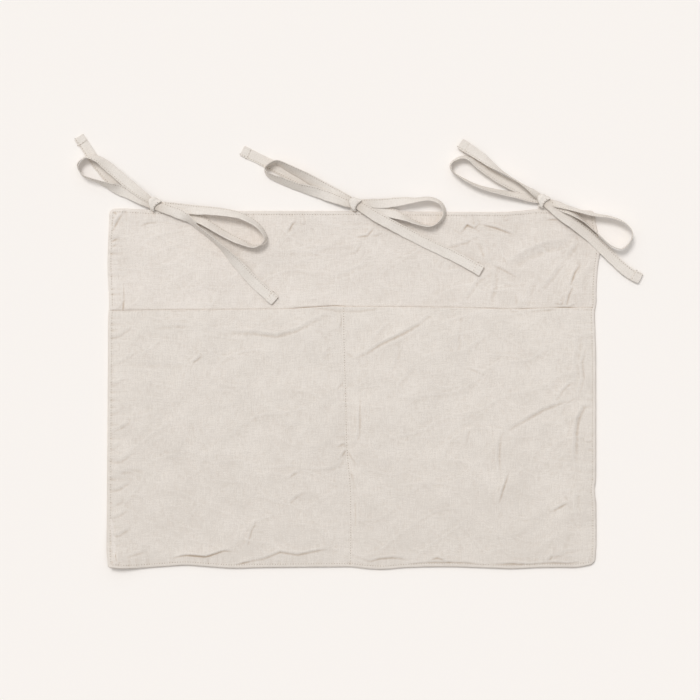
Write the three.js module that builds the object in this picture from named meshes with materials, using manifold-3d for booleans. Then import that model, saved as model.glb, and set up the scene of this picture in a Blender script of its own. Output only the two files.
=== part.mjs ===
// Bedside caddy, laid flat: two cloths sewn together and turned out, a doubled pocket cloth sewn over
// their lower part and split in two by a seam, and three pairs of ties in bows along the top edge.
// Millimetres. +X runs along the top edge to the right, +Y towards the ties, +Z out of the front.
// The origin is at the middle of the back face.

import * as THREE from 'three';
import { mergeVertices } from 'three/addons/utils/BufferGeometryUtils.js';
import Module from 'manifold-3d';

const wasm = await Module();
wasm.setup();

// Panel
const panelWidth = 550;
const panelHeight = 404;
const cornerRadius = 6;
const clothThickness = 0.6;
const seamAllowance = 10;
const clearance = 0.3;

// Pockets
const pocketDepth = 293;
const dividerOffset = -6;
const dividerStripWidth = 8;
const pocketRoom = 7;
const swellReach = 32;

// Stitching
const stitchInset = 4;
const threadWidth = 0.8;
const threadHeight = 0.4;

// Ties
const tieWidth = 12;
const tieThickness = 0.9;
const tieSpread = 100;
const tipHemLength = 8.5;
const tipHemThickness = 1.3;
const tieStandOff = 6;

// Knots
const knotWidth = 9;
const knotLength = 13.5;
// Where each knot is along the panel's width, how far it is above the top edge, and how far it is turned,
// as a share of a full turn
const knotPlaceShares = { left: -0.4031, middle: 0.00764, right: 0.39255 };
const knotRises = { left: 6.1, middle: 6.1, right: 9.5 };
const knotTurnShares = { left: -0.0861, middle: -0.0611, right: -0.0833 };
// The power that squares off a sphere into a knot: 1 leaves it round, 0 makes it a box
const knotBoxiness = 0.55;

// Colours of the finished cloth, and how rough it is
const bandColour = 0xe4dcd2;
const pocketColour = 0xdfd7cc;
const backColour = 0xdcd3c8;
const tieColour = 0xe6ded4;
const threadColour = 0xd6cdc1;
const clothRoughness = 0.92;
const threadRoughness = 0.8;

// Heights of the layers, from the back face up
const allowanceTop = 2 * clothThickness;
const innerFrontBottom = clothThickness + clearance;
const innerFrontTop = innerFrontBottom + clothThickness;
const rimBottom = allowanceTop + clearance;
const rimTop = rimBottom + 2 * clothThickness;
const pocketClothThickness = 2 * clothThickness;
const borderBottom = rimTop + clearance;
const borderTop = borderBottom + pocketClothThickness;
const dividerBottom = innerFrontTop + clearance;
const dividerTop = dividerBottom + pocketClothThickness;
const pocketRoomTop = innerFrontTop + pocketRoom;
const tieLayer = tieThickness + clearance;
const tieBaseBottom = clothThickness + clearance;
const knotBottom = rimTop + clearance;
const stackBottom = knotBottom + tieThickness + clearance;
const knotHeight = 2 * (tieThickness + clearance) + 3 * tieLayer - clearance;

// Places along the panel
const topEdge = panelHeight / 2;
const bottomEdge = -panelHeight / 2;
const mouth = bottomEdge + pocketDepth;
const rimWidth = seamAllowance + 2 * clothThickness;
const borderWidth = stitchInset + threadWidth / 2 + clearance;
const rimClear = bottomEdge + rimWidth + clearance;
const knotCentres = Object.fromEntries(Object.keys(knotPlaceShares).map(
  (side) => [side, [knotPlaceShares[side] * panelWidth, topEdge + knotRises[side]]],
));

function material(color, roughness) {
  return new THREE.MeshStandardMaterial({ color, roughness, metalness: 0 });
}

// Solids: a geometry as a manifold for joining and cutting, and back again
function solidOf(geometry) {
  const bare = geometry.index ? geometry.clone() : geometry;
  for (const name of Object.keys(bare.attributes)) {
    if (name !== 'position') bare.deleteAttribute(name);
  }
  const merged = mergeVertices(bare, clearance / 1000);
  return new wasm.Manifold(new wasm.Mesh({
    numProp: 3,
    vertProperties: new Float32Array(merged.attributes.position.array),
    triVerts: new Uint32Array(merged.index.array),
  }));
}

function geometryOf(solid) {
  const mesh = solid.getMesh();
  const geometry = new THREE.BufferGeometry();
  geometry.setAttribute('position', new THREE.BufferAttribute(mesh.vertProperties, 3));
  geometry.setIndex(new THREE.BufferAttribute(mesh.triVerts, 1));
  return geometry;
}

function slab(shape, bottom, top) {
  const geometry = new THREE.ExtrudeGeometry(shape, {
    depth: top - bottom, bevelEnabled: false, curveSegments: 5,
  });
  geometry.translate(0, 0, bottom);
  return geometry;
}

function block(left, right, low, high, bottom, top) {
  const geometry = new THREE.BoxGeometry(right - left, high - low, top - bottom);
  geometry.translate((left + right) / 2, (low + high) / 2, (bottom + top) / 2);
  return geometry;
}

// A rounded rectangle that follows the panel's outline at a distance inside it
function panelOutline(inset, path = new THREE.Shape(), radius = Math.max(cornerRadius - inset, clearance)) {
  const right = panelWidth / 2 - inset;
  const high = topEdge - inset;
  path.moveTo(-right, -high + radius);
  path.absarc(-right + radius, -high + radius, radius, Math.PI, 1.5 * Math.PI, false);
  path.absarc(right - radius, -high + radius, radius, 1.5 * Math.PI, 2 * Math.PI, false);
  path.absarc(right - radius, high - radius, radius, 0, 0.5 * Math.PI, false);
  path.absarc(-right + radius, high - radius, radius, 0.5 * Math.PI, Math.PI, false);
  path.closePath();
  return path;
}

function panelRing(outerInset, innerInset) {
  const ring = panelOutline(outerInset);
  ring.holes.push(panelOutline(innerInset, new THREE.Path(), clearance));
  return ring;
}

// Slots between the turned-in edges, where the ties are sewn into the top seam
function tieSlots() {
  return Object.values(knotCentres).map(([x]) => solidOf(block(
    x - tieWidth / 2 - clearance, x + tieWidth / 2 + clearance,
    topEdge - seamAllowance, topEdge + seamAllowance,
    clothThickness, rimTop - clothThickness,
  )));
}

function backCloth() {
  let solid = solidOf(slab(panelOutline(0), 0, clothThickness));
  solid = solid.add(solidOf(slab(panelRing(0, seamAllowance), clothThickness, allowanceTop)));
  for (const slot of tieSlots()) solid = solid.subtract(slot);
  return geometryOf(solid);
}

function frontCloth() {
  const inner = panelOutline(seamAllowance + clearance);
  let solid = solidOf(slab(inner, innerFrontBottom, rimBottom));
  solid = solid.add(solidOf(slab(panelRing(0, rimWidth), rimBottom, rimTop)));
  for (const slot of tieSlots()) solid = solid.subtract(slot);
  return geometryOf(solid);
}

// The margin of the pocket cloth outside the topstitching, on three sides, and the strip under the
// divider seam, which steps up over the panel's rim at its lower end
function pocketBorder() {
  const outerHalf = panelWidth / 2;
  const above = block(-outerHalf - seamAllowance, outerHalf + seamAllowance,
    mouth, topEdge + seamAllowance, 0, borderTop + seamAllowance);
  let solid = solidOf(slab(panelRing(0, borderWidth), borderBottom, borderTop));
  solid = solid.subtract(solidOf(above));
  const stripLeft = dividerOffset - dividerStripWidth / 2;
  const stripRight = dividerOffset + dividerStripWidth / 2;
  const borderEdge = bottomEdge + borderWidth;
  const stepEdge = rimClear + pocketClothThickness;
  solid = solid.add(solidOf(block(stripLeft, stripRight, borderEdge, stepEdge, borderBottom, borderTop)));
  solid = solid.add(solidOf(block(stripLeft, stripRight, rimClear, stepEdge, dividerBottom, borderTop)));
  solid = solid.add(solidOf(block(stripLeft, stripRight, rimClear, mouth, dividerBottom, dividerTop)));
  return geometryOf(solid);
}

// A closed sheet over a grid of places: its under side from a height rule, its upper side one thickness up
function sheet(acrossPlaces, alongPlaces, underside, thickness) {
  const columns = acrossPlaces.length;
  const rows = alongPlaces.length;
  const positions = [];
  for (const lift of [0, thickness]) {
    for (const y of alongPlaces) {
      for (const x of acrossPlaces) positions.push(x, y, underside(x, y) + lift);
    }
  }
  const under = (i, j) => j * columns + i;
  const upper = (i, j) => columns * rows + j * columns + i;
  const triangles = [];
  const quad = (a, b, c, d) => triangles.push(a, b, c, a, c, d);
  for (let j = 0; j < rows - 1; j += 1) {
    for (let i = 0; i < columns - 1; i += 1) {
      quad(upper(i, j), upper(i + 1, j), upper(i + 1, j + 1), upper(i, j + 1));
      quad(under(i, j), under(i, j + 1), under(i + 1, j + 1), under(i + 1, j));
    }
  }
  const last = columns - 1;
  const end = rows - 1;
  for (let i = 0; i < last; i += 1) {
    quad(under(i, 0), under(i + 1, 0), upper(i + 1, 0), upper(i, 0));
    quad(under(i + 1, end), under(i, end), upper(i, end), upper(i + 1, end));
  }
  for (let j = 0; j < end; j += 1) {
    quad(under(0, j + 1), under(0, j), upper(0, j), upper(0, j + 1));
    quad(under(last, j), under(last, j + 1), upper(last, j + 1), upper(last, j));
  }
  const geometry = new THREE.BufferGeometry();
  geometry.setAttribute('position', new THREE.Float32BufferAttribute(positions, 3));
  geometry.setIndex(triangles);
  return geometry;
}

// Places from low to high: close together on the slopes next to each end that swells, wide apart between
function slopedPlaces(low, high, swellsAtHigh, wideSteps) {
  const slopeShares = [0, 0.15, 0.3, 0.5, 0.7, 0.85, 1];
  const places = slopeShares.map((share) => low + share * swellReach);
  const inner = swellsAtHigh ? high - swellReach : high;
  for (let step = 1; step < wideSteps; step += 1) {
    places.push(low + swellReach + (inner - low - swellReach) * step / wideSteps);
  }
  if (swellsAtHigh) {
    for (const share of [...slopeShares].reverse()) places.push(high - share * swellReach);
  } else {
    places.push(high);
  }
  return places;
}

// A pocket's front, lying a little proud of the panel so that a hand or a book goes in
function pocketFront(left, right, leftBottom, rightBottom) {
  const low = bottomEdge + borderWidth + clearance;
  const underside = (x, y) => {
    const acrossShare = (x - left) / (right - left);
    const fromBottom = THREE.MathUtils.smoothstep(y, low, low + swellReach);
    const seam = THREE.MathUtils.lerp(leftBottom, rightBottom, acrossShare);
    const base = THREE.MathUtils.lerp(borderBottom, seam, fromBottom);
    const fromLeft = THREE.MathUtils.smoothstep(x, left, left + swellReach);
    const fromRight = THREE.MathUtils.smoothstep(right - x, 0, swellReach);
    return THREE.MathUtils.lerp(base, pocketRoomTop, fromBottom * fromLeft * fromRight);
  };
  const across = slopedPlaces(left, right, true, 3);
  const along = slopedPlaces(low, mouth, false, 4);
  return sheet(across, along, underside, pocketClothThickness);
}

// A strip of rectangular section along a flat route, for the lines of stitching
function stitchLine(route, bottom) {
  const left = [];
  const right = [];
  route.forEach((point, index) => {
    const before = route[Math.max(index - 1, 0)];
    const after = route[Math.min(index + 1, route.length - 1)];
    const inward = point.clone().sub(before).normalize();
    const outward = after.clone().sub(point).normalize();
    const heading = inward.add(outward).normalize();
    const side = new THREE.Vector2(-heading.y, heading.x);
    const along = index === 0 ? outward : point.clone().sub(before).normalize();
    const miter = threadWidth / 2 / Math.max(Math.abs(heading.dot(along)), 0.5);
    left.push(point.clone().addScaledVector(side, miter));
    right.push(point.clone().addScaledVector(side, -miter));
  });
  const shape = new THREE.Shape([...right, ...left.reverse()]);
  return slab(shape, bottom, bottom + threadHeight);
}

function stitchRoute(part) {
  const x = panelWidth / 2 - stitchInset;
  const high = topEdge - stitchInset;
  const radius = cornerRadius - stitchInset;
  const corner = (cx, cy, from) => [0, 0.5, 1].map((share) => {
    const angle = from + share * Math.PI / 2;
    return new THREE.Vector2(cx + radius * Math.cos(angle), cy + radius * Math.sin(angle));
  });
  if (part === 'pocket') {
    return [
      new THREE.Vector2(-x, mouth),
      ...corner(-x + radius, -high + radius, Math.PI),
      ...corner(x - radius, -high + radius, 1.5 * Math.PI),
      new THREE.Vector2(x, mouth),
    ];
  }
  return [
    new THREE.Vector2(x, mouth + clearance),
    ...corner(x - radius, high - radius, 0),
    ...corner(-x + radius, high - radius, 0.5 * Math.PI),
    new THREE.Vector2(-x, mouth + clearance),
  ];
}

// The sewn-in end of a pair of ties: it lies in the top seam and rises under the knot
function tieBase(x) {
  const inner = topEdge - seamAllowance + clearance;
  const edge = topEdge + clearance;
  const rise = knotBottom - clearance - tieThickness;
  const outer = topEdge + tieStandOff;
  const profile = new THREE.Shape([
    new THREE.Vector2(inner, tieBaseBottom),
    new THREE.Vector2(edge, tieBaseBottom),
    new THREE.Vector2(outer, rise),
    new THREE.Vector2(outer + tieStandOff / 2, rise),
    new THREE.Vector2(outer + tieStandOff / 2, rise + tieThickness),
    new THREE.Vector2(outer, rise + tieThickness),
    new THREE.Vector2(edge, tieBaseBottom + tieThickness),
    new THREE.Vector2(inner, tieBaseBottom + tieThickness),
  ]);
  const geometry = new THREE.ExtrudeGeometry(profile, { depth: tieWidth, bevelEnabled: false });
  geometry.rotateX(Math.PI / 2);
  geometry.rotateZ(Math.PI / 2);
  geometry.translate(x - tieWidth / 2, 0, 0);
  return geometry;
}

// A knot: a rounded block, the turn of tie that wraps the middle of a bow
function knot([x, y], turn) {
  const geometry = new THREE.SphereGeometry(1, 20, 12);
  const position = geometry.attributes.position;
  const swell = (value) => Math.sign(value) * Math.abs(value) ** knotBoxiness;
  for (let index = 0; index < position.count; index += 1) {
    position.setXYZ(
      index,
      swell(position.getX(index)) * knotWidth / 2,
      swell(position.getY(index)) * knotHeight / 2,
      swell(position.getZ(index)) * knotLength / 2,
    );
  }
  geometry.rotateX(Math.PI / 2);
  geometry.rotateZ(turn * 2 * Math.PI);
  geometry.translate(x, y, knotBottom + knotHeight / 2);
  return geometryOf(solidOf(geometry));
}

// Ties. Each row gives a place as shares of tieSpread right of and above the knot's middle, how far the
// tie is rolled about its own length in degrees, and how many layers of tie it lies above its bed.
const tieRouteShares = {
  left_upper_loop: [
    [-0.07, 0.055, 0, 2], [-0.29, 0.225, 8, 2], [-0.49, 0.395, 15, 2], [-0.65, 0.515, 50, 1.5],
    [-0.785, 0.53, 78, 1], [-0.87, 0.445, 85, 1], [-0.82, 0.335, 85, 1], [-0.65, 0.26, 78, 1],
    [-0.52, 0.21, 58, 1], [-0.42, 0.17, 15, 1], [-0.29, 0.12, 0, 1], [-0.08, 0.01, 0, 1],
  ],
  left_upper_tail: [
    [-0.08, 0.03, 0, 0], [-0.23, 0.1, 0, 0], [-0.38, 0.18, 0, 0], [-0.5, 0.28, 0, 0],
    [-0.66, 0.465, 0, 0], [-0.78, 0.645, 0, 0], [-0.867, 0.77, 0, 0],
  ],
  left_lower_loop: [
    [0.09, -0.01, 0, 1], [0.22, -0.03, 0, 1], [0.39, -0.055, 12, 1], [0.56, -0.068, 30, 1],
    [0.73, -0.085, 38, 0.5], [0.98, -0.136, 50, 0], [1.18, -0.26, 66, 0], [1.25, -0.395, 80, 0],
    [1.135, -0.472, 105, 0], [0.93, -0.405, 128, 0], [0.72, -0.295, 132, 0], [0.56, -0.195, 145, 0],
    [0.42, -0.13, 170, 0], [0.25, -0.068, 180, 0], [0.08, -0.03, 180, 0],
  ],
  left_lower_tail: [
    [0.075, -0.03, 0, 2], [0.22, -0.08, 0, 2], [0.31, -0.12, 15, 2], [0.39, -0.17, 48, 1.2],
    [0.46, -0.237, 60, 0.4], [0.56, -0.322, 62, 0], [0.67, -0.412, 55, 0], [0.785, -0.514, 35, 0],
    [0.9, -0.638, 10, 0], [1.12, -0.875, 0, 0], [1.35, -1.084, 0, 0],
  ],
  middle_upper_loop: [
    [-0.075, 0.055, 180, 1], [-0.29, 0.165, 180, 1], [-0.45, 0.25, 160, 1], [-0.62, 0.345, 135, 1],
    [-0.75, 0.41, 128, 1], [-0.9, 0.473, 110, 1], [-1.02, 0.4, 88, 1], [-0.98, 0.335, 70, 1],
    [-0.8, 0.255, 52, 1], [-0.62, 0.19, 48, 1], [-0.46, 0.147, 25, 1.6], [-0.29, 0.09, 0, 2],
    [-0.08, 0.01, 0, 2],
  ],
  middle_upper_tail: [
    [-0.08, 0.04, 0, 0], [-0.34, 0.17, 0, 0], [-0.68, 0.31, 0, 0], [-1.01, 0.48, 0, 0],
    [-1.28, 0.613, 0, 0],
  ],
  middle_lower_loop: [
    [0.09, 0.02, 0, 1], [0.25, 0.013, 0, 1], [0.45, 0.028, 20, 1], [0.68, 0.05, 72, 0.5],
    [0.84, 0.062, 78, 0], [0.96, 0.01, 82, 0], [1, -0.1, 88, 0], [0.965, -0.18, 92, 0],
    [0.85, -0.245, 105, 0], [0.67, -0.2, 115, 0], [0.55, -0.148, 130, 0], [0.44, -0.105, 165, 0],
    [0.33, -0.073, 180, 0], [0.08, -0.02, 180, 0],
  ],
  middle_lower_tail: [
    [0.075, -0.03, 0, 2], [0.22, -0.127, 0, 2], [0.39, -0.22, 0, 1.9], [0.5, -0.278, 0, 1],
    [0.62, -0.34, 0, 0], [0.84, -0.452, 0, 0], [1.13, -0.59, 0, 0], [1.42, -0.75, 0, 0],
  ],
  right_upper_loop: [
    [-0.075, 0.045, 0, 1], [-0.28, 0.152, 5, 1], [-0.51, 0.265, 30, 1], [-0.73, 0.41, 40, 0.5],
    [-0.82, 0.478, 55, 0], [-0.92, 0.498, 72, 0], [-1.04, 0.43, 84, 0], [-1.035, 0.355, 90, 0],
    [-0.93, 0.27, 100, 0], [-0.73, 0.17, 112, 0], [-0.55, 0.12, 120, 0], [-0.4, 0.09, 150, 0],
    [-0.28, 0.072, 178, 0], [-0.08, 0.02, 180, 0],
  ],
  right_upper_tail: [
    [-0.06, 0.06, 0, 2], [-0.15, 0.125, 40, 2], [-0.26, 0.2, 62, 2], [-0.37, 0.273, 62, 2],
    [-0.49, 0.345, 40, 2.5], [-0.6, 0.424, 20, 3], [-0.71, 0.508, 10, 3], [-0.82, 0.582, 5, 3],
    [-0.937, 0.658, 0, 2.5],
  ],
  right_lower_loop: [
    [0.08, -0.01, 180, 0], [0.19, -0.045, 180, 0], [0.27, -0.07, 172, 0], [0.36, -0.095, 134, 0],
    [0.53, -0.143, 104, 0], [0.76, -0.183, 96, 0], [0.9, -0.235, 92, 0], [0.99, -0.335, 92, 0],
    [0.985, -0.43, 96, 0], [0.88, -0.535, 100, 0], [0.76, -0.5, 102, 0], [0.61, -0.367, 100, 0],
    [0.45, -0.225, 80, 0.2], [0.35, -0.15, 60, 0.9], [0.27, -0.095, 16, 1.1], [0.19, -0.06, 0, 1],
    [0.08, -0.03, 0, 1],
  ],
  right_lower_tail: [
    [0.075, -0.045, 0, 2], [0.19, -0.145, 0, 2.7], [0.31, -0.23, 0, 3.3], [0.42, -0.311, 0, 1.8],
    [0.53, -0.395, 0, 0.4], [0.65, -0.51, 0, 0], [0.87, -0.723, 0, 0], [0.98, -0.808, 0, 0],
    [1.096, -0.867, 0, 0],
  ],
};

// Share of a tail's length over which its end hem thickens
const hemFoldShare = 0.005;

// What a tie lies on, by its distance from the knot: the knot's height first, then its bed
const tieBeds = {
  upper: { bed: clearance, startShare: 0.08, endShare: 0.45 },
  lower_loop: { bed: borderBottom + threadHeight + clearance, startShare: 0.08, endShare: 0.3 },
  lower_tail: { bed: dividerBottom, startShare: 0.35, endShare: 0.8 },
};

function tie(name) {
  const [side, half, form] = name.split('_');
  const [knotX, knotY] = knotCentres[side];
  const rows = tieRouteShares[name];
  const lowerBed = side === 'right' ? tieBeds.lower_loop : tieBeds[`lower_${form}`];
  const bedRule = half === 'upper' ? tieBeds.upper : lowerBed;
  // A loop rolls outwards; a tail below the knot rolls to its right
  const rollSide = half === 'lower' && form === 'loop' ? 1 : -1;
  const turn = knotTurnShares[side] * 2 * Math.PI + (half === 'upper' ? Math.PI : 0);
  const away = new THREE.Vector3(Math.cos(turn), Math.sin(turn), 0);
  const knotFace = knotWidth / 2 + clearance;
  const curve = new THREE.CatmullRomCurve3(
    rows.map(([x, y]) => new THREE.Vector3(x * tieSpread, y * tieSpread, 0)), false, 'centripetal',
  );
  const stepsPerRow = 3;
  const steps = (rows.length - 1) * stepsPerRow;
  const hemShare = curve.getUtoTmapping(1 - tipHemLength / curve.getLength());
  const lastPlainShare = form === 'tail' ? hemShare - 1 / steps : 1;
  const shares = [];
  for (let step = 0; step <= steps; step += 1) {
    if (step / steps <= lastPlainShare) shares.push(step / steps);
  }
  if (form === 'tail') shares.push(hemShare, hemShare + hemFoldShare, 1);
  const positions = [];
  shares.forEach((share, index) => {
    const scaled = share * (rows.length - 1);
    const row = Math.min(Math.floor(scaled), rows.length - 2);
    const blend = scaled - row;
    const roll = THREE.MathUtils.degToRad(THREE.MathUtils.lerp(rows[row][2], rows[row + 1][2], blend));
    const layers = THREE.MathUtils.lerp(rows[row][3], rows[row + 1][3], blend);
    const centre = curve.getPoint(share);
    const heading = curve.getTangent(share);
    const inHem = form === 'tail' && index >= shares.length - 2;
    const thickness = inHem ? tipHemThickness : tieThickness;
    const distance = Math.hypot(centre.x, centre.y);
    const settled = THREE.MathUtils.smoothstep(
      distance, bedRule.startShare * tieSpread, bedRule.endShare * tieSpread,
    );
    const bed = THREE.MathUtils.lerp(stackBottom, bedRule.bed, settled);
    const rise = tieWidth / 2 * Math.abs(Math.sin(roll)) + thickness / 2 * Math.abs(Math.cos(roll));
    centre.z = bed + layers * tieLayer + rise;
    const leftward = new THREE.Vector3(-heading.y, heading.x, 0);
    const face = new THREE.Vector3(0, 0, Math.cos(roll)).addScaledVector(leftward, rollSide * Math.sin(roll));
    const across = new THREE.Vector3().crossVectors(face, heading).normalize();
    for (const [w, n] of [[-1, -1], [1, -1], [1, 1], [-1, 1]]) {
      const point = centre.clone()
        .addScaledVector(across, w * tieWidth / 2)
        .addScaledVector(face, n * thickness / 2);
      // The first end is cut parallel to the knot's face and meets it
      if (index === 0) point.addScaledVector(heading, (knotFace - point.dot(away)) / heading.dot(away));
      positions.push(knotX + point.x, knotY + point.y, point.z);
    }
  });
  const triangles = [];
  const quad = (a, b, c, d) => triangles.push(a, b, c, a, c, d);
  const stations = shares.length;
  for (let station = 0; station < stations - 1; station += 1) {
    for (let corner = 0; corner < 4; corner += 1) {
      const next = (corner + 1) % 4;
      const here = station * 4;
      quad(here + corner, here + next, here + 4 + next, here + 4 + corner);
    }
  }
  quad(3, 2, 1, 0);
  const end = (stations - 1) * 4;
  quad(end, end + 1, end + 2, end + 3);
  const geometry = new THREE.BufferGeometry();
  geometry.setAttribute('position', new THREE.Float32BufferAttribute(positions, 3));
  geometry.setIndex(triangles);
  return geometry;
}

const caddy = new THREE.Group();

function place(name, geometry, finish) {
  const mesh = new THREE.Mesh(geometry, finish);
  mesh.name = name;
  caddy.add(mesh);
}

const leftSeam = -panelWidth / 2 + borderWidth + clearance;
const rightSeam = panelWidth / 2 - borderWidth - clearance;
const dividerLeft = dividerOffset - dividerStripWidth / 2 - clearance;
const dividerRight = dividerOffset + dividerStripWidth / 2 + clearance;

place('back_cloth', backCloth(), material(backColour, clothRoughness));
place('front_cloth', frontCloth(), material(bandColour, clothRoughness));
place('pocket_border', pocketBorder(), material(pocketColour, clothRoughness));
place('left_pocket_front', pocketFront(leftSeam, dividerLeft, borderBottom, dividerBottom),
  material(pocketColour, clothRoughness));
place('right_pocket_front', pocketFront(dividerRight, rightSeam, dividerBottom, borderBottom),
  material(pocketColour, clothRoughness));

place('band_stitching', stitchLine(stitchRoute('band'), rimTop + clearance),
  material(threadColour, threadRoughness));
place('pocket_stitching', stitchLine(stitchRoute('pocket'), borderTop + clearance),
  material(threadColour, threadRoughness));
place('divider_stitching', stitchLine([
  new THREE.Vector2(dividerOffset, rimClear + pocketClothThickness + clearance),
  new THREE.Vector2(dividerOffset, mouth),
], dividerTop + clearance), material(threadColour, threadRoughness));

for (const side of Object.keys(knotCentres)) {
  place(`${side}_tie_base`, tieBase(knotCentres[side][0]), material(tieColour, clothRoughness));
  place(`${side}_knot`, knot(knotCentres[side], knotTurnShares[side]), material(tieColour, clothRoughness));
}
for (const name of Object.keys(tieRouteShares)) {
  place(name, tie(name), material(tieColour, clothRoughness));
}

export default caddy;
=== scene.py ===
import math

import bpy
import numpy as np
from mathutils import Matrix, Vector


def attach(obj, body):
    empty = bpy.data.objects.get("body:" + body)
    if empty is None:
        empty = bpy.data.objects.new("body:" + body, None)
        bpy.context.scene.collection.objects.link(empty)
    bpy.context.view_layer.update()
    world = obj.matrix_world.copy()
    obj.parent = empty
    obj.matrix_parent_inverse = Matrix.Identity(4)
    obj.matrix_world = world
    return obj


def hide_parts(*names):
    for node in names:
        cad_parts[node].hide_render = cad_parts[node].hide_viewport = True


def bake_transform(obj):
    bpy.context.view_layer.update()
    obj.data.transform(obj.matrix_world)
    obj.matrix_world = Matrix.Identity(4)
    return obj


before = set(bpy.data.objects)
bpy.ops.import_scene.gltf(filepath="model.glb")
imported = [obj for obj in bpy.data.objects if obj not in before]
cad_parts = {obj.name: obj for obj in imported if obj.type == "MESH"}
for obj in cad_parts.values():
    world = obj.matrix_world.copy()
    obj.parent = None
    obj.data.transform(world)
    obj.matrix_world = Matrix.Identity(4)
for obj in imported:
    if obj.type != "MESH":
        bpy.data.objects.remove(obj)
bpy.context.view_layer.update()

METRE = 0.001

# The photograph, for placing creases and edges by its pixels
PIXEL = 1.1294
PHOTO_ORIGIN = (351.8, 389.25)
PHOTO_WIDTH = 700

# Panel and pockets, as in the CAD model
HALF_WIDTH, HALF_HEIGHT = 275.0, 202.0
CORNER_RADIUS = 6.0
SHARP_CORNER_RADIUS = 2.2
MOUTH = 91.0
DIVIDER = -6.0
STITCH_INSET = 4.0
MARGIN_WIDTH, MARGIN_CUT = 4.4, 7.0
STRIP_HALF = 2.0
POCKET_THICKNESS = 1.3

# Ties and knots, as in the CAD model
TIE_WIDTH = 12.0
TIE_THICKNESS = 0.9
TIE_LAYER = 1.2
HEM_LENGTH = 8.5
HEM_THICKNESS = 1.5
STACK_BOTTOM = 4.2
KNOT_BOTTOM = 3.0
KNOT_FACE = 4.8
BEND_LENGTH = 13.0
KNOTS = {
    "left": (-221.7, 208.1, math.radians(-31)),
    "middle": (4.2, 208.1, math.radians(-22)),
    "right": (215.9, 211.5, math.radians(-30)),
}


def placed(name, data):
    """A new object in the scene, made from a mesh, a camera or a lamp."""
    made = bpy.data.objects.new(name, data)
    bpy.context.scene.collection.objects.link(made)
    return made


# Camera: straight above, as far off as a product photograph is taken from
CAMERA_HEIGHT = 1980.0
camera = placed("camera", bpy.data.cameras.new("camera"))
photo_middle = ((PHOTO_WIDTH / 2 - PHOTO_ORIGIN[0]) * PIXEL, (PHOTO_ORIGIN[1] - PHOTO_WIDTH / 2) * PIXEL)
camera.location = (photo_middle[0] * METRE, photo_middle[1] * METRE, CAMERA_HEIGHT * METRE)
camera.data.sensor_width = 36.0
camera.data.lens = camera.data.sensor_width * CAMERA_HEIGHT / (PHOTO_WIDTH * PIXEL)
camera.data.clip_end = 50.0
bpy.context.scene.camera = camera
bpy.context.scene.view_settings.view_transform = "Standard"


def linear(red, green, blue):
    """A colour as a screen shows it, 0 to 255, as the linear colour that a shader takes."""
    levels = [channel / 255 for channel in (red, green, blue)]
    return (*[v / 12.92 if v <= 0.04045 else ((v + 0.055) / 1.055) ** 2.4 for v in levels], 1.0)


# Shaders and node trees

class Value:
    """A node's output that Python arithmetic works on, by adding Math nodes."""

    def __init__(self, graph, socket):
        self.graph, self.socket = graph, socket

    def math(self, operation, *values):
        return self.graph.node("ShaderNodeMath", dict(enumerate(values)), operation=operation)

    def __add__(self, other):
        return self.math("ADD", self, other)

    def __sub__(self, other):
        return self.math("SUBTRACT", self, other)

    def __mul__(self, other):
        return self.math("MULTIPLY", self, other)

    def sine(self):
        return self.math("SINE", self)


class Graph:
    """A node tree. node() makes any node from the values or links of its sockets and its settings."""

    def __init__(self, tree):
        self.tree = tree

    def node(self, kind, sockets=None, output=0, **settings):
        made = self.tree.nodes.new(kind)
        for name, setting in settings.items():
            setattr(made, name, setting)
        for name, value in (sockets or {}).items():
            links = value if isinstance(value, list) else [value]
            for link in links:
                if isinstance(link, Value):
                    self.tree.links.new(link.socket, made.inputs[name])
                else:
                    made.inputs[name].default_value = link
        return Value(self, made.outputs[output]) if len(made.outputs) else None


def finish_of(name):
    """A new material, and the graph of its emptied node tree."""
    made = bpy.data.materials.new(name)
    made.use_nodes = True
    made.node_tree.nodes.clear()
    return made, Graph(made.node_tree)


def noise(graph, place, scale, detail=2.0, stretch=(1.0, 1.0, 1.0)):
    """A noise from 0 to 1, with scale features a metre, drawn out along the axes by stretch."""
    drawn = graph.node("ShaderNodeVectorMath", {0: place, 1: stretch}, operation="MULTIPLY")
    return graph.node("ShaderNodeTexNoise", {
        "Vector": drawn, "Scale": scale, "Detail": detail, "Roughness": 0.55,
    })


def mixed(graph, share, first, second, **settings):
    """Two colours, mixed by a share of the second."""
    return graph.node("ShaderNodeMix", {0: share, 6: first, 7: second}, 2, data_type="RGBA", **settings)


def matt_surface(graph, colour, roughness, shine, relief, strength, depth):
    """The end of a fibre's tree: its colour, and bumps of a strength and a depth in metres."""
    bump = graph.node("ShaderNodeBump", {"Strength": strength, "Distance": depth, "Height": relief})
    shader = graph.node("ShaderNodeBsdfPrincipled", {
        "Base Color": colour, "Roughness": roughness, "Specular IOR Level": shine, "Normal": bump,
    })
    graph.node("ShaderNodeOutputMaterial", {"Surface": shader})


# The linen's yarns in metres, how far their lines wander in radians, and the tint of the painted shade that
# darkens it in folds and creases
YARN_PITCH, YARN_WANDER = 0.00058, 3.0
PAINTED_SHADE_TINT = (0.66, 0.56, 0.46, 1.0)


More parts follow.
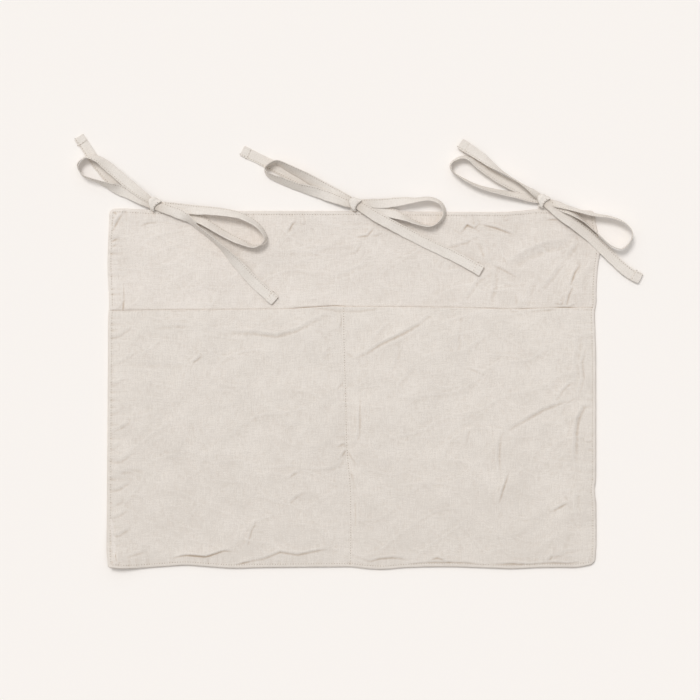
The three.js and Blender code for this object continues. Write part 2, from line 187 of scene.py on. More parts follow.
def linen(name, pale, dark, slub_depth=1.0, painted_falloff=(0.0, 0.0)):
    """Washed plain-woven linen. Yarns run along the cloth's own map, in metres, with thick and thin places.
    It pales by a painted falloff of the light for each metre to the right and up the map."""
    made, graph = finish_of(name)
    place = graph.node("ShaderNodeUVMap", uv_map="cloth")
    wander = noise(graph, place, 90.0, 1.0) - 0.5
    turns = 2 * math.pi / YARN_PITCH
    right, up = (graph.node("ShaderNodeSeparateXYZ", {0: place}, output=axis) for axis in (0, 1))
    weave = (right * turns + wander * YARN_WANDER).sine() * (up * turns + wander * YARN_WANDER).sine()
    warp_slubs = noise(graph, place, 1.0, 2.0, (1100.0, 75.0, 1.0))
    weft_slubs = noise(graph, place, 1.0, 2.0, (80.0, 1200.0, 1.0))
    slubs = warp_slubs + weft_slubs - 1.0
    grain = noise(graph, place, 850.0, 1.0) - 0.5
    mottle = noise(graph, place, 24.0, 4.0, (1.0, 1.5, 1.0)) - 0.5
    tone = slubs * (1.7 * slub_depth) + grain * 2.0 + mottle * 1.3 + weave * 0.15 + 0.5
    tone = tone + right * painted_falloff[0] + up * painted_falloff[1]
    colour = mixed(graph, tone, dark, pale, clamp_factor=True)
    # Painted shade: the cloth's colour darkens towards a warm brown where the mesh marks a crease, fold or
    # seam
    painted_shade = graph.node("ShaderNodeAttribute", output="Fac", attribute_name="painted_shade")
    colour = mixed(graph, painted_shade, colour, PAINTED_SHADE_TINT, blend_type="MULTIPLY")
    relief = weave * 0.5 + slubs * (1.8 * slub_depth) + grain * 2.2
    matt_surface(graph, colour, 0.92, 0.18, relief, 0.6, 0.00014)
    return made


# Meshes

def mesh_piece(name, points, faces, places, material, sharp_degrees=55.0, painted_shade=None):
    """A smooth-shaded object from points in millimetres, faces, and each point's place on the flat cloth.
    The painted shade given is how deep in a fold each point lies, from 0 to 1, and darkens the cloth's colour
    there."""
    mesh = bpy.data.meshes.new(name)
    mesh.from_pydata((np.asarray(points) * METRE).tolist(), [], faces)
    corners = np.zeros(len(mesh.loops), np.int64)
    mesh.loops.foreach_get("vertex_index", corners)
    layer = mesh.uv_layers.new(name="cloth")
    layer.data.foreach_set("uv", (np.asarray(places, np.float32) * METRE)[corners].ravel())
    mesh.polygons.foreach_set("use_smooth", np.ones(len(mesh.polygons), bool))
    mesh.set_sharp_from_angle(angle=math.radians(sharp_degrees))
    if painted_shade is not None:
        depths = mesh.attributes.new("painted_shade", "FLOAT", "POINT")
        depths.data.foreach_set("value", painted_shade.astype(np.float32).ravel())
    mesh.materials.append(material)
    return placed(name, mesh)


def as_rows(*grids):
    """Grids of coordinates as one row of points."""
    return np.stack(grids, -1).reshape(-1, len(grids))


def grid_faces(rows, columns, first=0, turned=False, closed=False):
    """The quads of a grid of points that starts at number first. A turned grid faces the other way."""
    j, i = np.meshgrid(np.arange(rows - 1), np.arange(columns if closed else columns - 1), indexing="ij")
    after = (i + 1) % columns
    quads = as_rows(j * columns + i, j * columns + after, (j + 1) * columns + after, (j + 1) * columns + i)
    quads = quads + first
    return (quads[:, ::-1] if turned else quads).tolist()


def rim_of(rows, columns):
    """The numbers of a grid's outer points, in order, anticlockwise from its first corner."""
    numbers = np.arange(rows * columns).reshape(rows, columns)
    return np.concatenate([numbers[0, :-1], numbers[:-1, -1], numbers[-1, :0:-1], numbers[:0:-1, 0]])


def wall_faces(lower, upper):
    """Quads between two closed rings of point numbers, facing outwards where both run anticlockwise."""
    return as_rows(lower, np.roll(lower, -1), np.roll(upper, -1), upper).tolist()


def painted_shade_of(x, y, height, spread=2, depth=0.4):
    """How far each place of a cloth's grid lies below those round it, as a share of depth, within its rim:
    the painted shade of its creases and folds.
    """
    size = 2 * spread + 1
    around = np.lib.stride_tricks.sliding_window_view(np.pad(height, spread, mode="edge"), (size, size))
    return np.clip((around.mean((-1, -2)) - height) / depth, 0.0, 1.0) * ease(edge_distance(x, y), 1.8, 3.0)


# Shape rules, worked out on numpy arrays

def ease(value, low, high):
    """From 0 at low to 1 at high, level at both ends."""
    share = np.clip((np.asarray(value, float) - low) / (high - low), 0.0, 1.0)
    return share * share * (3.0 - 2.0 * share)


def stepped(value, base, *steps):
    """A base, and on top of it each step's rise, which comes in between its low and its high."""
    for rise, low, high in steps:
        base = base + rise * ease(value, low, high)
    return base


def hill(value, middle, reach, power=2):
    """1 at the middle, and near 0 beyond reach on either side."""
    return np.exp(-((value - middle) / reach) ** power)


def smoothed(values, spread):
    """Values along a line, evened out over a few places on each side."""
    kernel = np.exp(-0.5 * (np.arange(-3 * spread, 3 * spread + 1) / spread) ** 2)
    edge = len(kernel) // 2
    return np.convolve(np.pad(values, edge, mode="edge"), kernel / kernel.sum(), mode="valid")


def bumps(x, y, cell, seed, stretch=1.0, angle=0.0):
    """Smooth random relief from -1 to 1 with hills a cell apart, drawn out along a direction."""
    c, s = math.cos(angle), math.sin(angle)
    u = (x * c + y * s) / (cell * stretch)
    v = (-x * s + y * c) / cell
    turns = np.random.default_rng(seed).uniform(0.0, 2 * math.pi, (64, 64))
    column, row = np.floor(u).astype(int), np.floor(v).astype(int)
    fu, fv = u - column, v - row

    def weight(share):
        return share ** 3 * (share * (share * 6 - 15) + 10)

    total = 0.0
    for du in (0, 1):
        for dv in (0, 1):
            turn = turns[(row + dv) % 64, (column + du) % 64]
            near = weight(fu if du else 1.0 - fu) * weight(fv if dv else 1.0 - fv)
            total = total + near * (np.cos(turn) * (fu - du) + np.sin(turn) * (fv - dv))
    return 1.5 * total


def soft_line(points, spread=5.0):
    """A rule that follows (place, offset) pairs smoothly."""
    places, offsets = np.array(points, float).T
    fine = np.arange(places[0] - 4 * spread, places[-1] + 4 * spread, 1.0)
    smooth = smoothed(np.interp(fine, places, offsets), spread)[:len(fine)]
    return lambda at: np.interp(at, fine, smooth)


# How far each edge of the panel, the pockets' mouth and the divider seam wander from straight
left_edge = soft_line([
    (-202, 1.5), (-192, -0.4), (-183, -1.3), (-60, -0.6), (50, 0.2), (84, 0.3), (95, 1.3), (110, 0.6),
    (138, -0.9), (165, 0.0), (190, 1.2), (202, 1.6)])
right_edge = soft_line([
    (-202, -0.8), (-180, 0.9), (-128, 0.6), (-115, -1.8), (-103, 0.4), (40, 0.4), (80, -0.9), (89, -1.1),
    (95, 1.3), (112, 1.0), (129, 1.9), (144, 3.3), (153, 5.2), (163, 5.0), (180, 2.0), (190, -0.2),
    (202, -0.6)], 3.5)
top_edge = soft_line([
    (-275, 1.6), (-259, 2.2), (-239, 0.8), (-200, 0.2), (-132, -0.7), (-2, -0.8), (60, -1.3), (111, -1.8),
    (175, -1.9), (195, -0.2), (209, 1.2), (240, 0.4), (275, -0.2)])
bottom_edge = soft_line([
    (-275, 1.9), (-262, 0.6), (-244, -0.1), (-217, 1.7), (-187, 3.9), (-161, 1.7), (-134, -0.1), (-106, 0.8),
    (-3, 1.7), (16, -0.9), (36, -1.4), (56, 0.7), (86, 1.7), (117, 1.7), (157, 0.2), (181, -0.8), (207, 0.7),
    (237, 1.1), (254, 0.6), (266, 2.8), (275, 5.2)])
mouth_line = soft_line([
    (-275, -2.6), (-228, -1.8), (-171, -1.4), (-70, -0.4), (-49, 1.0), (-14, 3.1), (-8, 2.1), (54, 1.9),
    (111, 1.3), (167, -0.3), (190, -0.7), (229, 0.8), (275, 0.8)])
divider_line = soft_line([
    (-202, 4.5), (-160, 4.9), (-112, 4.5), (-82, 1.7), (-52, -0.2), (-8, -0.9), (40, -2.5), (91, -3.4)])

# How far into the cloth that wandering reaches: from an edge, from the mouth and from the divider
EDGE_REACH, MOUTH_REACH, DIVIDER_REACH = 80.0, 30.0, 45.0


def settle(x, y, pocket=False):
    """Where the sewn cloth's ideal point (x, y) lies, with rounded corners and wandering edges."""
    x, y = np.asarray(x, float), np.asarray(y, float)
    radius = np.where((x < 0) & (y < 0), SHARP_CORNER_RADIUS, CORNER_RADIUS)
    corner_x = np.clip(np.abs(x) - (HALF_WIDTH - radius), 0.0, None)
    corner_y = np.clip(np.abs(y) - (HALF_HEIGHT - radius), 0.0, None)
    longest = np.maximum(corner_x, corner_y)
    away = np.hypot(corner_x, corner_y)
    inward = np.where(away > 0, longest / np.where(away > 0, away, 1.0), 1.0)
    px = np.sign(x) * (np.abs(x) - corner_x + corner_x * inward)
    py = np.sign(y) * (np.abs(y) - corner_y + corner_y * inward)

    def near(inset):
        return 1 - ease(inset, 0, EDGE_REACH)

    shift_x = left_edge(y) * near(x + HALF_WIDTH) + right_edge(y) * near(HALF_WIDTH - x)
    shift_y = top_edge(x) * near(HALF_HEIGHT - y) + bottom_edge(x) * near(HALF_HEIGHT + y)
    if pocket:
        shift_y = shift_y + mouth_line(x) * np.exp(-np.abs(MOUTH - y) / MOUTH_REACH)
        shift_x = shift_x + divider_line(y) * hill(x, DIVIDER, DIVIDER_REACH)
    return px + shift_x, py + shift_y


def edge_distance(x, y):
    """How far inside the panel's nearest edge a place lies."""
    across = np.minimum(x + HALF_WIDTH, HALF_WIDTH - x)
    return np.minimum(across, np.minimum(y + HALF_HEIGHT, HALF_HEIGHT - y))


def spot(pixel):
    """A pixel of the photograph as a place on the panel."""
    return ((pixel[0] - PHOTO_ORIGIN[0]) * PIXEL, (PHOTO_ORIGIN[1] - pixel[1]) * PIXEL)


def distances(points):
    """How far along a line of points each of them lies."""
    return np.concatenate([[0.0], np.cumsum(np.hypot(*np.diff(points, axis=0).T))])


CREASE_GAIN, CREASE_ROUNDING, CREASE_FOOT = 1.15, 0.5, 0.2


def crease_relief(x, y, creases):
    """The relief of creases: a ridge along each line, with a shallow foot below it."""
    relief = np.zeros_like(x)
    for height, above, below, *pixels in creases:
        line = np.array([spot(pixel) for pixel in zip(pixels[::2], pixels[1::2])])
        reach = 4 * max(above, below)
        low, high = line.min(0) - reach, line.max(0) + reach
        near = (x > low[0]) & (x < high[0]) & (y > low[1]) & (y < high[1])
        if not near.any():
            continue
        px, py = x[near], y[near]
        starts = distances(line)
        run, rise = line[-1] - line[0]
        upper = 1.0 if run > 1e-6 or (abs(run) < 1e-6 and rise < 0) else -1.0
        gap = np.full(px.shape, np.inf)
        side, along = np.zeros_like(px), np.zeros_like(px)
        for (ax, ay), (bx, by), start, end in zip(line[:-1], line[1:], starts[:-1], starts[1:]):
            ux, uy = (bx - ax) / (end - start), (by - ay) / (end - start)
            t = np.clip((px - ax) * ux + (py - ay) * uy, 0, end - start)
            here = np.hypot(px - ax - t * ux, py - ay - t * uy)
            closer = here < gap
            gap = np.where(closer, here, gap)
            side = np.where(closer, upper * (ux * (py - ay) - uy * (px - ax)), side)
            along = np.where(closer, start + t, along)
        taper = np.clip(np.sin(np.pi * np.clip(along / starts[-1], 0.0, 1.0)), 0, 1) ** 0.9
        width = np.where(side > 0, above, below)
        ridge = np.exp(-(np.sqrt(gap ** 2 + CREASE_ROUNDING ** 2) - CREASE_ROUNDING) / width)
        foot = hill(side, -(1.3 * below + 0.25), 0.5 * below + 0.4)
        relief[near] += CREASE_GAIN * height * taper * (ridge - CREASE_FOOT * foot)
    return relief


# Creases of the band above the pockets. Each row: its height, how far it falls off above and below, and
# the pixels that it runs through
BAND_CREASES = [
    (1.3, 5.5, 2, 124, 210, 120.5, 214, 116.5, 219.5, 113.5, 225, 109, 234),
    (0.7, 2.5, 1.2, 110, 243, 113.5, 240, 118, 237.5),
    (0.5, 2.5, 1.2, 110.5, 248, 113.5, 245.5, 117, 243.5), (0.5, 2, 1.2, 150, 213, 151, 220),
    (0.6, 4, 1.5, 138, 226, 147, 222, 157, 221), (0.25, 1, 3, 122, 281, 122.3, 296, 122.3, 313),
    (-0.2, 0.7, 0.5, 123, 282, 123.4, 296, 123.4, 312),
    (-0.6, 0.7, 0.55, 122.6, 300, 122.6, 307, 122.8, 314), (0.5, 2, 1.2, 113, 310, 118, 307, 122, 301),
    (1, 3.5, 1.1, 296, 219, 291.7, 222.5, 286, 232.5), (0.6, 3, 1.1, 301, 223, 305, 222),
    (0.5, 9, 5, 240, 262, 262, 258, 290, 262), (0.5, 9, 4, 292, 252, 315, 250, 341, 238),
    (1, 3, 1.1, 355.5, 235.5, 366.7, 233.9, 373.6, 225.6), (0.5, 3, 1.1, 370, 234, 377, 233.5, 384, 230),
    (0.5, 3, 1.4, 348, 252, 355, 251, 359.5, 244), (0.6, 8, 4, 330, 276, 352, 268, 372, 259),
    (1.2, 3.4, 1, 459, 232, 466.7, 222, 474, 225.6, 479, 220),
    (1.2, 4.5, 1.1, 480.5, 221.4, 497, 225.6, 515, 233), (0.8, 6, 1.8, 492, 262, 504, 268, 520, 277),
    (0.4, 3, 2, 516.7, 291, 518.5, 301, 519, 309), (0.4, 4, 2, 483, 248, 486, 256, 486, 263),
    (0.7, 6, 3, 459, 303, 468, 292, 476, 280, 492, 270),
    (0.6, 5, 2, 444, 245.5, 455, 243, 466, 240, 478, 233),
    (0.9, 3, 1.1, 545, 219.5, 552, 218.6, 560, 219.5), (2.6, 16, 8, 506, 262, 524, 250, 546, 242, 574, 238),
    (0.8, 6, 3, 572, 238, 569, 247, 562, 258), (0.9, 8, 3.4, 563, 256, 557, 264, 550, 276, 538, 290),
    (0.7, 7, 4, 538, 274, 529, 286, 522, 309), (0.4, 4, 2.5, 500, 284, 509, 282.5, 520, 284),
    (1.2, 4.5, 1.5, 576, 264, 571.5, 272, 567, 287), (0.9, 3.5, 1.4, 571, 285, 566.5, 294, 563.5, 306),
    (0.8, 8, 5, 588, 258, 582, 274, 576, 296), (0.9, 2, 1, 559, 305, 561, 301),
    (0.7, 2.5, 1, 567, 306, 575, 303), (0.7, 7, 4, 476, 232, 485, 246, 491, 266),
    (0.9, 7, 3.6, 493, 264, 492, 286, 486, 307), (0.5, 8, 4, 440, 268, 452, 262, 462, 262),
    (0.5, 5, 3, 585, 215, 580, 224, 570, 232), (0.7, 1.5, 1, 505, 216, 505.6, 219),
    (0.6, 12, 8, 250, 296, 290, 300, 330, 296),
]

# Creases of the pocket cloth
POCKET_CREASES = [
    (0.6, 6, 3, 155, 325, 175, 323, 193, 324),
    (1.25, 8, 3.2, 222, 329.5, 250, 330, 277, 333, 297, 328, 313, 320, 333, 312.5),
    (0.7, 3, 1.5, 340, 331, 343, 322, 343, 314), (0.9, 2, 1, 330, 310, 336, 306, 341, 305),
    (0.8, 4, 1.6, 190, 362, 196, 358.5, 201, 354), (0.5, 9, 4, 120, 360, 150, 361, 176, 362, 190, 361),
    (1.2, 6, 2.4, 346.7, 350, 356.7, 355, 367, 351.7, 380, 343, 403, 331.7, 420, 321.7, 433, 311.7),
    (0.9, 3, 1.8, 358.5, 396, 358.2, 418, 357.5, 434, 353, 444),
    (1, 3, 1.3, 345.5, 446.7, 341, 453, 337, 459), (0.7, 3, 1.3, 348, 449, 352, 457, 357, 464),
    (0.7, 2.5, 1.2, 345, 441.5, 341, 443, 336, 445.5), (0.5, 3, 1.4, 349, 471, 353, 476, 356, 483),
    (0.5, 3, 2, 349, 466, 352, 478, 354, 490), (0.5, 1.5, 1.5, 353, 498, 353.5, 515, 353, 532),
    (1.2, 7.5, 2.8, 577, 394.5, 567, 398, 543, 406.7, 523, 418, 501.7, 430),
    (0.9, 4, 2.5, 501, 428, 497, 440, 496, 456, 497.5, 478), (1, 3.5, 1.3, 507, 471, 502, 486, 496.5, 504),
    (1.1, 4, 1.8, 567, 500, 559, 504.5, 549, 510), (0.7, 7, 4.5, 577, 332, 573, 356, 573, 386),
    (0.8, 4, 2.2, 584, 345, 579, 362, 580.5, 378, 576, 395),
    (1.7, 6, 3.2, 592, 401, 581, 405, 575, 417, 572.5, 433, 572, 463),
    (0.6, 3, 1.4, 594, 437, 588, 440, 583, 439), (0.4, 2.5, 1.4, 594, 448.5, 589, 447.5, 585, 449),
    (0.6, 6, 4, 578, 480, 573, 500, 574, 520), (0.8, 4, 2, 552, 549, 549, 556, 545, 562),
    (1.2, 4, 1.4, 490, 562.5, 512, 561, 530, 563, 546, 562),
    (0.7, 4, 2, 553, 400, 560, 390, 567, 383, 574, 379), (0.5, 4, 2, 467, 366, 476, 369, 486, 373),
    (0.5, 5, 3, 458, 310, 456, 334, 455, 360), (0.5, 4, 2.5, 468, 426, 465, 435, 463, 444),
    (0.5, 5, 3, 390, 372, 395, 360, 397, 346), (0.6, 3, 1.6, 300, 470, 293, 472, 286, 478),
    (0.6, 4, 2, 286, 503, 295, 495, 304, 489), (0.5, 5, 3, 322, 470, 336, 463, 346, 450),
    (0.4, 6, 4, 566, 527, 562, 542, 559, 557),
    (1.7, 6, 1, 171, 559, 186, 556.5, 206, 556.5, 215, 553, 224, 549.3, 235, 549.2),
    (1.1, 4, 1, 235, 563.5, 245, 561, 252, 560),
    (1.1, 5, 1.6, 243, 560, 263, 557.5, 280, 550.5, 297, 553.5, 313, 550, 333, 545),
    (0.6, 2, 1.2, 246, 547, 250, 531, 257, 517),
    (1, 4, 1.4, 356.7, 556.5, 367, 558.5, 377, 555.5, 390, 555, 410, 558.5),
    (1, 4, 1.4, 426.7, 560.5, 437, 557, 453, 563), (0.9, 3, 1, 118.6, 549, 118.8, 556, 119.8, 562.5),
    (0.6, 2, 0.8, 120, 563, 117, 563.2, 115.3, 565), (0.5, 3, 2, 124, 556, 136, 552, 150, 549),
    (0.6, 7, 3.5, 112, 476, 126, 468, 150, 466), (0.5, 4, 2, 345, 380, 340, 384, 335, 390),
    (0.9, 4, 1.2, 398, 564, 430, 562, 466, 562, 492, 564), (0.6, 7, 3, 540, 560, 560, 552, 584, 545),
    (1, 3.5, 1.4, 536, 562.5, 552, 561.5, 566, 562.5, 580, 560.5),
    (0.5, 14, 8, 260, 400, 290, 420, 330, 425), (0.6, 16, 10, 150, 430, 200, 455, 250, 450),
    (0.5, 16, 9, 390, 400, 430, 385, 470, 392), (0.6, 12, 8, 400, 500, 430, 478, 450, 470),
    (0.5, 12, 7, 280, 500, 310, 490, 330, 500), (0.4, 14, 10, 180, 400, 190, 370, 185, 345),
    (0.5, 10, 6, 520, 345, 540, 350, 560, 345),
]

# Short creases that the left seam draws in, rising to the right: pixel row, reach and height
for row, reach, height in (
        (333, 18, 0.7), (349, 8, 0.4), (360, 24, 0.6), (381, 14, 0.6), (410, 11, 0.5), (427, 18, 0.9),
        (445, 10, 0.5), (459, 24, 0.7), (471, 9, 0.4), (487, 19, 0.9), (503, 11, 0.5), (514, 17, 0.7),
        (533, 20, 0.9), (545, 9, 0.5)):
    POCKET_CREASES.append((height, 5, 2.4, 111, row + 2, 112 + 0.4 * reach, row,
                           112 + reach, row - 0.4 * reach))


def cloth_relief(x, y, seed):
    """The relief that washed linen has all over: broad waves, soft dents, fine crinkles and folds."""
    relief = 0.0
    for step, (cell, depth, stretch, turn) in enumerate((
            (95.0, 1.2, 1.5, 0.5), (38.0, 0.7, 1.6, 2.4), (15.0, 0.3, 1.7, 0.8), (6.5, 0.09, 1.8, 2.0))):
        relief = relief + depth * bumps(x, y, cell, seed + step, stretch, turn)
    for cell, depth, turn in ((34.0, 0.34, 0.35), (21.0, 0.2, 2.7), (12.0, 0.1, 1.1)):
        folded = 1.0 - np.abs(bumps(x, y, cell, seed + int(cell), 2.1, turn)) * 2.6
        relief = relief + depth * np.clip(folded, 0.0, 1.0) ** 3
    return relief


def puckers(along, inside, seed, reach=9.0):
    """The little waves that a line of stitching draws in, dying out away from it."""
    waves = bumps(along, along * 0.0 + 3.3, 5.5, seed) + 0.8 * bumps(along, inside * 0.25, 11.0, seed + 1)
    return waves * np.exp(-np.abs(inside) / reach)


# Where the bottom and right edges curl off the floor. Each row: how high all along the edge, how much
# higher in one place, that place's middle and reach along the edge, and the reach inwards
BOTTOM_CURLS = [(0.0, 8.6, -268.0, 21.0, 20.0), (0.6, 0.5, -150.0, 60.0, 12.0)]
RIGHT_CURLS = [(0.0, 0.9, 158.0, 22.0, 12.0), (0.0, 0.6, -60.0, 110.0, 10.0)]


def lift(x, y):
    """How far the panel's edges curl off the floor: most at the lower left corner."""
    total = 0.0
    for curls, along, inset in ((BOTTOM_CURLS, x, y + HALF_HEIGHT), (RIGHT_CURLS, y, HALF_WIDTH - x)):
        for even_rise, rise, middle, reach, inwards in curls:
            total = total + (even_rise + rise * hill(along, middle, reach)) * np.exp(-inset / inwards)
    return total


# Heights over the puffed rim and its line of stitching, at distances in from the edge
RIM_AT = np.array([0.0, 0.12, 0.4, 0.9, 1.5, 2.2, 2.9, 3.5, 4.0, 4.5, 5.3, 6.5, 8.5, 10.5, 12.5, 15.0])
PANEL_RIM = [0.9, 1.4, 1.9, 2.2, 2.33, 2.38, 2.38, 2.35, 2.29, 2.33, 2.36, 2.38, 2.38, 2.34, 2.2, 2.1]
MARGIN_RIM = [1.3, 2.2, 2.85, 3.15, 3.32, 3.4, 3.42, 3.41, 3.36, 3.41, 3.5, 3.6, 3.75, 3.9, 4.0, 4.1]
COVERED_HEIGHT, COVERED_FLATTENING = 1.5, 0.75
RELIEF_BASE = 0.35
CLOTH_GAP = 0.3

# Each a base and its steps: the share of the relief that is left at the edges, how strongly the seams
# draw the cloth in, more towards the left edge, and the pocket cloth's height beside the divider seam
FRONT_CALM, POCKET_CALM = (0.2, (0.8, 3.0, 22.0)), (0.15, (0.85, 3.0, 24.0))
FRONT_DRAWN_IN = (0.3, (0.35, 240.0, 262.0), (0.35, 258.0, 270.0))
POCKET_DRAWN_IN = (0.28, (0.25, 240.0, 262.0))
DIVIDER_DRAWN_IN, DIVIDER_DRAWN_IN_REACH = 0.3, 7.0
BESIDE_DIVIDER = (3.05, (0.35, 0.0, 4.0), (0.5, 3.0, 14.0), (1.4, 10.0, 50.0))

# How far the pocket cloth sinks where two of its heights cross, and along its mouth
CROSSING_DIP, CROSSING_REACH = 0.25, 0.6
MOUTH_DROP, MOUTH_DROP_REACH = 0.9, 14.0

# The crevice under the pockets' mouth, and where it is deeper: by how much, its middle, its reach and
# the power that its ends fall off with
GAPE = 0.3
MOUTH_GAPES = [(0.75, -38.0, 30.0, 4), (0.7, 241.0, 10.0, 4), (0.4, 157.0, 9.0, 2), (0.4, 195.0, 8.0, 2)]

# Seeds of the cloths' relief and of the puckers along their seams, and how far along those waves the
# side seams begin, so that they don't repeat the waves of the top and bottom seams
FRONT_SEED, POCKET_SEED, BACK_SEED = 11, 57, 101
FRONT_SEAM_SEED, POCKET_SEAM_SEED, DIVIDER_SEED = 31, 71, 91
FRONT_SIDES_FROM, POCKET_SIDES_FROM = 777.0, 555.0


def panel_top(x, y):
    """The height of the front cloth's upper side."""
    inset = edge_distance(x, y)
    height = np.interp(inset, RIM_AT, PANEL_RIM)
    covered = ease(MOUTH - y, -1.0, 6.0)
    low = np.interp(inset, RIM_AT, np.minimum(PANEL_RIM, COVERED_HEIGHT))
    height = height + covered * (low - height)
    calm = stepped(inset, *FRONT_CALM)
    relief = cloth_relief(x, y, FRONT_SEED) * calm + crease_relief(x, y, BAND_CREASES)
    seam = np.where(HALF_HEIGHT - y < HALF_WIDTH - np.abs(x), x, y + FRONT_SIDES_FROM)
    drawn_in = stepped(-x, *FRONT_DRAWN_IN)
    relief = relief + drawn_in * puckers(seam, inset - STITCH_INSET, FRONT_SEAM_SEED)
    gape = GAPE + sum(depth * hill(x, middle, reach, power) for depth, middle, reach, power in MOUTH_GAPES)
    crevice = gape * hill(y - MOUTH - mouth_line(x), 0.2, 0.9) * ease(inset, 1.0, 5.0)
    shown = relief * (1.0 - COVERED_FLATTENING * covered) * ease(inset, 0.0, 2.0)
    return height + RELIEF_BASE + shown + lift(x, y) - crevice


def pocket_top(x, y):
    """The height of the pocket cloth's upper side."""
    inset = np.minimum(np.minimum(x + HALF_WIDTH, HALF_WIDTH - x), y + HALF_HEIGHT)
    seam_gap = np.abs(x - DIVIDER)
    plain = np.interp(inset, RIM_AT, MARGIN_RIM) + ease(inset, 6.0, 45.0)
    sewn = stepped(seam_gap, *BESIDE_DIVIDER)
    height = np.minimum(plain, sewn) - CROSSING_DIP * np.exp(-np.abs(plain - sewn) / CROSSING_REACH)
    calm = stepped(np.minimum(inset, seam_gap + 3.0), *POCKET_CALM)
    relief = cloth_relief(x, y, POCKET_SEED) * calm + crease_relief(x, y, POCKET_CREASES)
    seam = np.where(y + HALF_HEIGHT < HALF_WIDTH - np.abs(x), x, y + POCKET_SIDES_FROM)
    drawn_in = stepped(-x, *POCKET_DRAWN_IN)
    relief = relief + drawn_in * puckers(seam, inset - STITCH_INSET, POCKET_SEAM_SEED)
    relief = relief + DIVIDER_DRAWN_IN * puckers(y, x - DIVIDER, DIVIDER_SEED, DIVIDER_DRAWN_IN_REACH)
    mouth_drop = MOUTH_DROP * np.exp(-np.clip(MOUTH - y, 0.0, None) / MOUTH_DROP_REACH)
    height = height - mouth_drop * ease(inset, 6.0, 20.0)
    height = height + RELIEF_BASE + relief * ease(inset, 0.0, 2.0) + lift(x, y)
    resting = panel_top(x, y) + CLOTH_GAP + POCKET_THICKNESS
    return height + ease(inset, 4.0, 9.0) * (np.maximum(height, resting) - height)


def even(low, high, step):
    """Places from low to high, about a step apart."""
    return np.linspace(low, high, max(2, int(round(abs(high - low) / step)) + 1))


def rim_places(low, high, step, at_low=True, at_high=True):
    """Places along a grid: close together over the puffed rim, then evenly spread."""
    rim = RIM_AT[RIM_AT < 7.0]
    places = [low + rim[:-1]] if at_low else []
    places.append(even(low + (rim[-1] if at_low else 0.0), high - (rim[-1] if at_high else 0.0), step))
    if at_high:
        places.append(high - rim[-2::-1])
    return np.concatenate(places)


# The cloths: the steps of their grids, and the heights of the sides that face each other
BAND_STEP, POCKET_STEP, HIDDEN_STEP, BACK_STEP, MARGIN_STEP, MOUTH_STEP = 0.95, 0.95, 12.0, 2.6, 1.15, 0.5
FRONT_LOWER, BACK_UPPER = 0.8, 0.85

# Painted light falloff: the band's colour darkens towards the right and the pocket cloth's pales upwards
band_linen = linen("front_linen", linear(238, 230, 222), linear(223, 214, 205), painted_falloff=(-0.5, 0.0))
pocket_linen = linen("pocket_linen", linear(235.2, 227.2, 218.7), linear(220.2, 211.7, 202.7),
                     painted_falloff=(0.0, 1.4))
back_linen = linen("back_linen", linear(229, 221, 212), linear(215, 207, 197))
tie_linen = linen("tie_linen", linear(237.5, 230.5, 222.5), linear(223.5, 215.5, 206.5), 0.9)


def laid_sheet(name, columns, rows, top, hidden_height, material, below=False):
    """A cloth of the panel: its shown side follows a rule, and its hidden side is flat."""
    x, y = np.meshgrid(columns, rows)
    height = top(x, y)
    shown = as_rows(*settle(x, y), height)
    place = as_rows(x, y)
    rim = rim_of(*x.shape)
    hidden = shown[rim].copy()
    hidden[:, 2] = hidden_height + lift(*place[rim].T)
    hidden_rim = np.arange(len(rim)) + len(shown)
    faces = grid_faces(*x.shape, turned=below)
    sides = wall_faces(hidden_rim, rim) + [hidden_rim[::-1].tolist()]
    if below:
        sides = [face[::-1] for face in sides]
    # Painted shade in the cloth's colour where it lies below its neighbours, in creases and folds
    painted_shade = np.concatenate([painted_shade_of(x, y, -height if below else height).ravel(), np.zeros(len(rim))])
    return mesh_piece(name, np.concatenate([shown, hidden]), faces + sides,
                      np.concatenate([place, place[rim]]), material, painted_shade=painted_shade)


# Front cloth: fine over the band that shows, coarse under the pockets
front_rows = np.concatenate([
    rim_places(-HALF_HEIGHT, MOUTH - 6.0, HIDDEN_STEP, at_high=False),
    even(MOUTH - 5.5, MOUTH + 5.5, MOUTH_STEP),
    rim_places(MOUTH + 6.3, HALF_HEIGHT, BAND_STEP, at_low=False),
])
front_columns = rim_places(-HALF_WIDTH, HALF_WIDTH, BAND_STEP)
panel_front = laid_sheet("panel_front", front_columns, front_rows, panel_top, FRONT_LOWER, band_linen)

UNDER_AT = [0.0, 0.3, 0.9, 2.0, 3.4, 4.0, 4.6, 6.0, 12.0]
UNDER_RIM = [0.8, 0.4, 0.12, 0.0, 0.1, 0.4, 0.1, 0.0, 0.1]
UNDER_RELIEF = 0.35


def panel_under(x, y):
    """The height of the back cloth's outer side, which lies on the floor."""
    inset = edge_distance(x, y)
    relief = UNDER_RELIEF * np.clip(cloth_relief(x, y, BACK_SEED), 0.0, None) * ease(inset, 4.0, 20.0)
    return np.interp(inset, UNDER_AT, UNDER_RIM) + relief + lift(x, y)


panel_back = laid_sheet("panel_back", rim_places(-HALF_WIDTH, HALF_WIDTH, BACK_STEP),
                        rim_places(-HALF_HEIGHT, HALF_HEIGHT, BACK_STEP), panel_under, BACK_UPPER, back_linen,
                        below=True)


